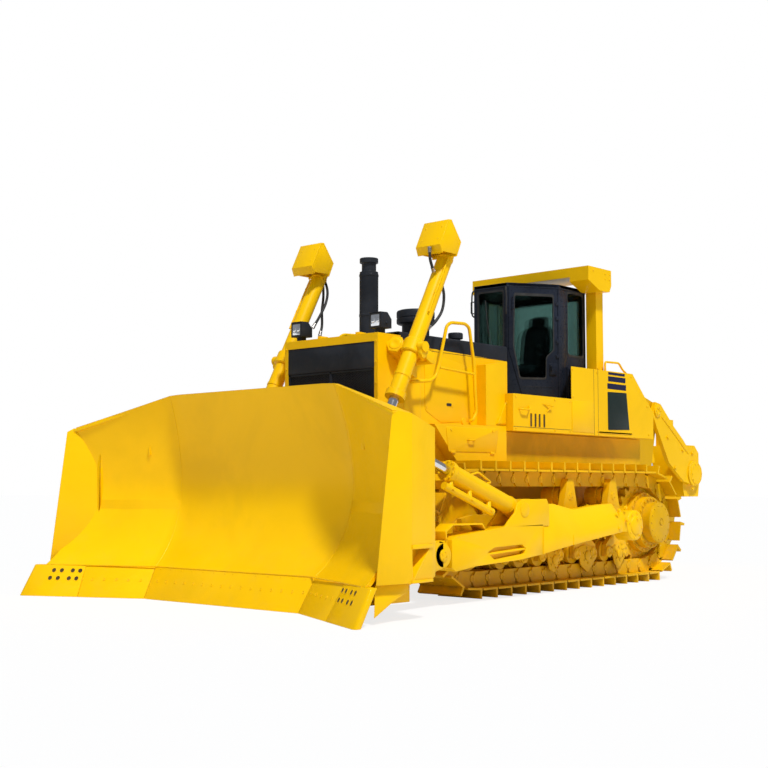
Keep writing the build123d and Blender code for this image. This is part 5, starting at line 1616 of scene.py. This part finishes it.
@dataclass(frozen=True)
class PushArms:
    """Box arms with a slanted shoulder, hump plates, step recess and rung, roof guard, end eyes and bolts."""

    y: float = ARM_Y
    half: float = ARM_HALF
    trunnion: tuple[float, float] = (1141.0, 767.0)
    flange_x: float = 4787.0

    def boxes(self) -> None:
        """Arms: each box is a closed section run along X through stations of low, shoulder and top."""
        y0, y1, mid = self.y - self.half, self.y + self.half, self.y
        (tx, tz), (px, pz) = self.trunnion, BLADE_PIN
        stations = np.array([(1480, 690, 830, 1040), (1633, 674, 811, 1034), (1902, 643, 776, 1018),
                             (2346, 593, 718, 975), (2578, 566, 690, 1015), (2768, 541, 716, 1048),
                             (3200, 482, 776, 1052)], float)
        x, low, shoulder, top = stations.T
        full = np.full(len(x), 1.0)
        loops = [(y0, low), (y0, top), (mid - 20, top), (y1, shoulder), (y1, low)]
        piece = Piece("push_arm_boxes", "yellow", Body.ARMS)
        piece.grid(np.stack([np.stack([x, y * full, z], -1) for y, z in loops], 1), wrap=True, caps=True)
        outer = [(4860, 690), (4790, 724), (3940, 806), (3199, 820), (3199, 482), (3659, 435), (4000, 420),
                 (4430, 401), (4790, 360), (4860, 400)]
        slot = [(4231, 545), (4175, 566), (4118, 588), (3609, 604), (3538, 555), (3563, 501), (3850, 478),
                (4120, 454), (4187, 497), (4231, 523)]
        piece.framed(at_y(outer, y1), at_y(slot, y1), (0, -60, 0))
        piece.plates(at_y(outer, y1 - 60), (0, -2 * self.half + 60, 0))
        hump = [(3080, 800), (3080, 1040), (3124, 1108), (3602, 1104), (3697, 1063), (3740, 958),
                (3849, 877), (3942, 800)]
        piece.plates(np.stack([at_y(hump, y0 + 28), at_y(hump, y1)]), (0, -28, 0))
        roof = [(4905, 690), (4918, 779), (4794, 854), (4279, 852), (4213, 776), (4213, 750), (4290, 834),
                (4786, 836), (4890, 770), (4885, 690)]
        piece.plates(at_y(roof, mid + 90), (0, -180, 0))
        piece.blocks([(tx, 1500, mid - 100, mid + 100, 690, 940), (4780, px, y0 + 60, y1 - 60, 385, 685)])
        eye = [(0, 0), (0, 172), (8, 190), (222, 190), (230, 172), (230, 0)]
        piece.turned([(tx, mid - 115, tz)], LEFT, eye, 40)
        piece.turned([(tx, mid + 60, tz)], LEFT, [(0, 0), (0, 120), (62, 120), (70, 108), (70, 0)], 32)
        piece.turned([(px, y0 + 60, pz)], LEFT, disc(150, 0, 140), 36)
        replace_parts(piece.put(both_sides=True, bevel=6), "push_arms")

    def fittings(self) -> None:
        """Rung in the recess, bolts, the tilt cylinder's pin plate, welds, and pin caps on the blade."""
        y1, mid = self.y + self.half, self.y
        dress_up = Piece("push_arm_fittings", "yellow", Body.ARMS)
        dress_up.tube(np.array([(4250, y1 - 22, 516), (3520, y1 - 22, 556.0)]), 15.0)
        dress_up.turned(at_y(circle(self.trunnion, 155, 8, 0.2), mid + 112), LEFT, bolt(15, 12), 6)
        dress_up.turned(at_y([(1401, 991), (1124, 852), (1365, 835), (1560, 960), (1560, 740)], y1 - 12),
                        LEFT, bolt(24, 26), 6)
        dress_up.turned(at_y(circle(TILT_REAR, 66, 6, 0.5), y1 - 2), LEFT, bolt(10, 9), 6)
        dress_up.turned(at_y([TILT_REAR], y1 - 2), LEFT, [(0, 0), (0, 84), (8, 84), (10, 80), (10, 0)], 28)
        weld = at_y([(2578, 566), (2578, 688)], y1 + 1)
        dress_up.tube(weld, 6.0, 8).tube(at_y([(3199, 484), (3199, 780)], y1 + 1), 6.0, 8)
        dress_up.put(both_sides=True)
        pins = Piece("blade_pin_caps", "yellow", Body.BLADE)
        pins.turned(at_y([BLADE_PIN], y1 - 4), LEFT, [(0, 0), (0, 64), (14, 64), (18, 58), (18, 0)], 32)
        pins.turned(at_y(circle(BLADE_PIN, 40, 4, 0.4), y1 + 12), LEFT, bolt(9, 8), 6)
        pins.put(both_sides=True)

    def tilt(self) -> None:
        """Guard tube, its lugs, lifting loop and gland bolts of the tilt cylinders."""
        axis, side, up = self.tilt_axes()
        low = 190 * np.cross(LEFT, axis) + (0.0, 60.0, 0.0)
        end = (self.flange_x - TILT_REAR[0]) / axis[0]
        piece = Piece("tilt_guards", "yellow", Body.TILT_BARRELS)
        piece.tube(np.array([self.tilt_point(480) + low, self.tilt_point(end + 60) + low]), 42.0, 20)
        lugs = np.array([self.tilt_point(d) for d in (540, 900, 1240)])
        for lug in lugs:
            piece.tube(np.array([lug + low, lug]), 30.0, 14)
        piece.turned(lugs + low + (0, 42, 0), LEFT, bolt(22, 16), 6)
        loop = [self.tilt_point(end - 520), (4010, self.y, 1290), (4240, self.y, 1400),
                self.tilt_point(end - 250)]
        piece.tube(rounded_corners(np.array(loop), 30, closed=False), 12.0)
        angle = np.arange(10) * math.pi / 5
        ring = np.cos(angle)[:, None] * side + np.sin(angle)[:, None] * up
        piece.turned(self.tilt_point(end) + 100 * ring, axis, bolt(12, 12), 6)
        strap = band(0, 26, 96, 106)
        for d in (140.0, end - 100):
            piece.turned([self.tilt_point(d)], axis, strap, 32)
        piece.put(both_sides=True)

    def tilt_axes(self) -> tuple[np.ndarray, np.ndarray, np.ndarray]:
        """Direction of the tilt cylinders and the two directions square to it."""
        axis = unit(np.array((TILT_FRONT[0] - TILT_REAR[0], 0.0, TILT_FRONT[1] - TILT_REAR[1])))
        side, up = across(axis[None])
        return axis, side, up

    def tilt_point(self, distance: float) -> np.ndarray:
        """Point on the left tilt cylinder's axis at a distance from its rear pin."""
        return np.array((TILT_REAR[0], self.y, TILT_REAR[1])) + distance * self.tilt_axes()[0]

    def build(self) -> None:
        """Build the arms, their fittings and the tilt cylinders' guards."""
        self.boxes()
        self.fittings()
        self.tilt()


@dataclass(frozen=True)
class Undercarriage:
    """Dress of both tracks: links, pins, shoe bolts, bogie brackets, roller caps and hubs."""

    track_y: float = 1250.0
    links: int = 41
    rear_r: float = 562.95
    front_r: float = 557.0
    idler_x: float = 3980.0
    pin_z: float = 213.0

    def pin_line(self, share: np.ndarray) -> np.ndarray:
        """Points round the pin line: half circle at the sprocket, top run, half circle at the idler, low run.

        Args:
            share: Shares of the way round, from below the sprocket and rearwards first.

        Returns:
            X and Z of each point.
        """
        rise = 2 * (self.rear_r - self.front_r)
        lengths = np.array([math.pi * self.rear_r, math.hypot(self.idler_x, rise), math.pi * self.front_r,
                            self.idler_x])
        ends = np.concatenate([[0], np.cumsum(lengths)])
        s = (share % 1.0) * ends[-1]
        t = [s - e for e in ends[:4]]
        a, b = -math.pi / 2 - t[0] / self.rear_r, math.pi / 2 - t[2] / self.front_r
        zr, zf = self.pin_z + self.rear_r, self.pin_z + self.front_r
        parts = [(self.rear_r * np.cos(a), zr + self.rear_r * np.sin(a)),
                 (self.idler_x * t[1] / lengths[1], zr + self.rear_r - rise * t[1] / lengths[1]),
                 (self.idler_x + self.front_r * np.cos(b), zf + self.front_r * np.sin(b)),
                 (self.idler_x - t[3], self.pin_z + 0 * s)]
        chosen = np.clip(np.searchsorted(ends, s, side="right") - 1, 0, 3)
        return np.stack([np.choose(chosen, [p[k] for p in parts]) for k in (0, 1)], -1)

    def tracks(self) -> None:
        """Link plates with scalloped feet, pin ends and four hexagon bolts on each shoe."""
        pins = self.pin_line((np.arange(self.links) + 0.25) / self.links)
        after = np.roll(pins, -1, axis=0)
        along, middle = unit(after - pins), (pins + after) / 2
        out = np.stack([-along[:, 1], along[:, 0]], -1)
        shape = np.array([(-132, 60), (-100, 94), (100, 94), (126, 60), (126, 20), (104, -34), (74, -78),
                          (-80, -78), (-108, -40), (-132, 0)], float)
        plan = middle[:, None] + shape[None, :, :1] * along[:, None] + shape[None, :, 1:] * out[:, None]
        links = Piece("track_links", "yellow_low")
        links.plates(at_y(plan, 1398.0), (0, -18, 0)).plates(at_y(plan, 1102.0), (0, 18, 0))
        pin_end = [(0, 0), (0, 42), (8, 42), (10, 34), (10, 16), (6, 12), (6, 0)]
        links.turned(at_y(pins, 1396.0), LEFT, pin_end, 16)
        links.put(both_sides=True, smooth=30)
        bolts = Piece("shoe_bolts", "yellow_low")
        for u in (-58.0, 34.0):
            for y in (-96.0, 96.0):
                spots = at_y(middle + u * along + 119.0 * out, self.track_y + y)
                bolts.turned(spots, at_y(out, 0.0), bolt(17, 14), 6)
        bolts.put(both_sides=True)

    def brackets(self) -> None:
        """Outer plates of the rocking brackets with round bosses and bolts, and the rollers' end caps."""
        plates = [[(2448, 458), (2152, 477), (2099, 415), (2292, 211), (2398, 246)],
                  [(1763, 495), (1620, 528), (1360, 482), (1333, 370), (1553, 176), (1711, 276)],
                  [(972, 469), (817, 528), (631, 490), (602, 391), (827, 173), (916, 274)]]
        piece = Piece("bogie_plates", "yellow_low")
        for corners in plates:
            piece.plates(at_y(rounded_corners(corners, 26), 1452.0), (0, -16, 0))
            mid = np.mean(corners, axis=0)
            piece.turned([(mid[0], 1451, mid[1])], LEFT, [(0, 0), (0, 62), (12, 62), (18, 50), (18, 0)], 28)
            piece.turned(at_y(circle(mid, 92, 6, 0.4), 1451.0), LEFT, bolt(13, 11), 6)
        rollers = np.array([660, 1036, 1412, 1788, 2164, 2540, 2916, 3292.0])
        spots = np.stack([rollers, np.full(8, 1440.0), np.full(8, 421.0)], -1)
        end_cap = [(-10, 0), (-10, 74), (14, 74), (22, 62), (22, 30), (16, 26), (16, 0)]
        piece.turned(spots, LEFT, end_cap, 24)
        for k in range(4):
            angle = k * math.pi / 2 + 0.6
            piece.turned(spots + (48 * math.cos(angle), 20, 48 * math.sin(angle)), LEFT, bolt(9, 8), 6)
        piece.put(both_sides=True, bevel=3)

    def hubs(self) -> None:
        """Final drive covers with bolt rings and plugs, sprocket segment bolts and idler caps."""
        piece = Piece("drive_hubs", "yellow_low")
        z = self.pin_z + self.rear_r
        cover = [(-4, 0), (-4, 262), (6, 262), (12, 250), (22, 190), (30, 120), (31, 60), (22, 52)]
        plug = [(22, 34), (34, 30), (34, 0)]
        piece.turned([(0, 1596, z)], LEFT, cover + plug, 48)
        for radius, count, turn, y, head in ((318, 24, 0.0, 1469.0, bolt(16, 15)),
                                             (228, 14, 0.0, 1606.0, bolt(13, 13)),
                                             (378, 25, 0.1, 1368.0, bolt(14, 12)),
                                             (440, 25, 0.06, 1297.0, bolt(17, 14))):
            piece.turned(at_y(circle((0, z), radius, count, turn), y), LEFT, head, 6)
        for x, height in ((990, 1133), (1983, 1133)):
            piece.turned([(x, 1480, height)], LEFT, [(-10, 0), (-10, 64), (8, 64), (14, 54), (14, 0)], 28)
            piece.turned(at_y(circle((x, height), 40, 4, 0.4), 1490.0), LEFT, bolt(9, 9), 6)
            piece.turned(at_y([(x - 120, 690), (x + 120, 690)], 1480.0), LEFT, bolt(17, 14), 6)
        zi = self.pin_z + self.front_r
        idler_cap = [(0, 0), (0, 120), (30, 120), (40, 104), (40, 50), (32, 44), (32, 0)]
        piece.turned([(self.idler_x, 1360, zi)], LEFT, idler_cap, 36)
        piece.turned(at_y(circle((self.idler_x, zi), 84, 6), 1396.0), LEFT, bolt(12, 11), 6)
        edge = np.array([(x, 1500.0, 600.0) for x in np.linspace(760, 3080, 16)])
        piece.turned(edge, LEFT, bolt(14, 12), 6)
        piece.put(both_sides=True)

    def build(self) -> None:
        """Build the undercarriage's dress."""
        self.tracks()
        self.brackets()
        self.hubs()


@dataclass(frozen=True)
class Ripper:
    """Dress of the ripper's linkage: bolts, pin caps with rims and cover rings."""

    y: float = 620.0

    def build(self) -> None:
        """Build the ripper's dress."""
        piece = Piece("ripper_fittings", "yellow", Body.LINKS)
        bolts = [(-2025, 2015), (-2239, 1557), (-2786, 1790), (-2783, 1232), (-2480, 1830), (-2900, 1330)]
        piece.turned(at_y(bolts, self.y - 1), LEFT, bolt(26, 22), 6)
        pin, centre = (-1720, 2401), (-2880, 1470)
        pin_cap = [(0, 0), (0, 92), (18, 92), (24, 80), (24, 34), (16, 30), (16, 0)]
        piece.turned(at_y([pin], self.y - 1), LEFT, pin_cap, 32)
        piece.turned(at_y(circle(pin, 58, 6), self.y + 21), LEFT, bolt(11, 9), 6)
        cover = [(0, 0), (0, 176), (10, 172), (16, 120), (16, 0)]
        piece.turned(at_y([centre], self.y + 18), LEFT, cover, 40)
        piece.turned(at_y(circle(centre, 150, 10), self.y + 26), LEFT, bolt(13, 12), 6)
        rib = at_y([(-1850, 2320), (-2217, 2080), (-2505, 1885), (-2660, 1780)], self.y + 2)
        piece.tube(rib, 9.0, 8)
        piece.put(both_sides=True)


NODES_BY_FINISH = {
    "yellow_low": """main_frame platform_supports ripper_brackets equalizer_bar final_drives sprockets idlers
        track_rollers carrier_rollers bogies track_frame_left track_frame_right track_left track_right""",
    "yellow": """radiator_guard hood_panels side_boxes deck fuel_tank rops handrails lift_yokes lift_cylinders
        lift_covers push_arms moldboard blade_ends blade_frame cutting_edge tilt_cylinders ripper_links
        ripper_arm wing_frames ripper_beam ripper_shank ripper_cylinders""",
    "charcoal": """grille hood_top engine exhaust_stack air_cleaner work_lamps cab_frame cab_door_left
        cab_door_right""",
    "glass": """cab_glass door_glass_left door_glass_right""",
    "chrome": """lift_rods tilt_rods ripper_rods""",
    "seat": """operator_seat""",
}
BODY_FINISH = {node: finish for finish, nodes in NODES_BY_FINISH.items() for node in nodes.split()}


@dataclass(frozen=True)
class Studio:
    """Camera, soft lights, pale floor and white backdrop."""

    camera_at: tuple[float, float, float] = (15031.42, 10071.25, 1205.42)
    heading: float = math.radians(42.0) - 0.0031
    pitch: float = 0.085
    roll: float = 0.0012
    lens: float = 58.363
    sensor: float = 36.0
    key: tuple[tuple[float, float, float], float, float] = ((0.28, 0.72, 1.25), 3.1, 6.0)
    fill: tuple[tuple[float, float, float], float, float] = ((1.0, 0.25, 0.45), 0.12, 50.0)
    sky: float = 0.28
    floor_size: float = 220.0
    floor_glow: float = 0.78

    def camera(self) -> None:
        """Place the camera at the viewing angle."""
        forward = np.array([-math.cos(self.heading) * math.cos(self.pitch),
                            -math.sin(self.heading) * math.cos(self.pitch), math.sin(self.pitch)])
        right = np.cross(forward, (0, 0, 1))
        right /= np.linalg.norm(right)
        up = np.cross(right, forward)
        side = right * math.cos(self.roll) + up * math.sin(self.roll)
        top = -right * math.sin(self.roll) + up * math.cos(self.roll)
        data = bpy.data.cameras.new("camera")
        data.lens, data.sensor_width, data.sensor_fit = self.lens, self.sensor, "HORIZONTAL"
        data.clip_start, data.clip_end = 0.1, 500.0
        camera = bpy.data.objects.new("camera", data)
        place = Matrix.Identity(4)
        for column, vector in enumerate((side, top, -forward, mm(*self.camera_at))):
            for row in range(3):
                place[row][column] = float(vector[row])
        camera.matrix_world = place
        bpy.context.scene.collection.objects.link(camera)
        bpy.context.scene.camera = camera

    def lamp(self, name: str, direction: Sequence[float], strength: float, softness: float) -> None:
        """Add a distant soft light.

        Args:
            name: The light's name.
            direction: From the machine towards the light.
            strength: Light on a surface that faces it.
            softness: Angular size in degrees.
        """
        data = bpy.data.lights.new(name, "SUN")
        data.energy, data.angle = strength, math.radians(softness)
        lamp = bpy.data.objects.new(name, data)
        lamp.rotation_euler = Vector(direction).to_track_quat("Z", "Y").to_euler()
        bpy.context.scene.collection.objects.link(lamp)

    def backdrop(self) -> None:
        """White world seen by the camera and through glass, with a soft grey light."""
        world = bpy.data.worlds.new("studio")
        bpy.context.scene.world = world
        world.use_nodes = True
        tree = world.node_tree
        tree.nodes.clear()
        out = tree.nodes.new("ShaderNodeOutputWorld")
        path = tree.nodes.new("ShaderNodeLightPath")
        seen = tree.nodes.new("ShaderNodeMath")
        seen.operation = "MAXIMUM"
        tree.links.new(path.outputs["Is Camera Ray"], seen.inputs[0])
        tree.links.new(path.outputs["Is Transmission Ray"], seen.inputs[1])
        soft = tree.nodes.new("ShaderNodeBackground")
        soft.inputs["Color"].default_value = (0.90, 0.93, 1.0, 1.0)
        soft.inputs["Strength"].default_value = self.sky
        white = tree.nodes.new("ShaderNodeBackground")
        white.inputs["Color"].default_value = (1.0, 1.0, 1.0, 1.0)
        white.inputs["Strength"].default_value = 1.0
        blend = tree.nodes.new("ShaderNodeMixShader")
        tree.links.new(seen.outputs[0], blend.inputs[0])
        tree.links.new(soft.outputs[0], blend.inputs[1])
        tree.links.new(white.outputs[0], blend.inputs[2])
        tree.links.new(blend.outputs[0], out.inputs["Surface"])

    def floor(self) -> None:
        """Pale floor that keeps the machine's shadow."""
        size = self.floor_size
        corners = [(x, y, 0) for x, y in boxed(-size, size, -size, size)]
        mesh = bpy.data.meshes.new("floor")
        mesh.from_pydata(corners, [], [(0, 1, 2, 3)])
        floor = bpy.data.objects.new("floor", mesh)
        bpy.context.scene.collection.objects.link(floor)
        n = Nodes("pale_floor")
        matt = n.add("ShaderNodeBsdfDiffuse")
        matt.inputs["Color"].default_value = (*Colour.FLOOR.value, 1.0)
        glow = n.add("ShaderNodeEmission")
        glow.inputs["Color"].default_value = (1.0, 1.0, 1.0, 1.0)
        path = n.add("ShaderNodeLightPath")
        share = n.math("MULTIPLY", path.outputs["Is Camera Ray"], self.floor_glow)
        blend = n.add("ShaderNodeMixShader")
        n.link(share, blend.inputs["Fac"])
        n.link(matt.outputs[0], blend.inputs[1])
        n.link(glow.outputs[0], blend.inputs[2])
        n.link(blend.outputs[0], n.out.inputs["Surface"])
        floor.data.materials.append(n.material)

    def build(self) -> None:
        """Set up the whole studio."""
        bpy.context.scene.view_settings.view_transform = "Standard"
        self.camera()
        self.lamp("key_light", *self.key)
        self.lamp("front_light", *self.fill)
        self.backdrop()
        self.floor()


PARTS = [Blade(), Hood(), Grille(), LiftGear(), Cab(), Flanks(), PushArms(), Undercarriage(), Ripper()]


def main() -> None:
    """Build every sub-assembly in order and report it."""
    logging.basicConfig(level=logging.INFO, format="%(name)s: %(message)s")
    Studio().build()
    for node, finish in BODY_FINISH.items():
        dress(node, finish)
    for part in PARTS:
        part.build()
        LOG.info("finished %s", type(part).__name__)


if __name__ == "__main__":
    main()
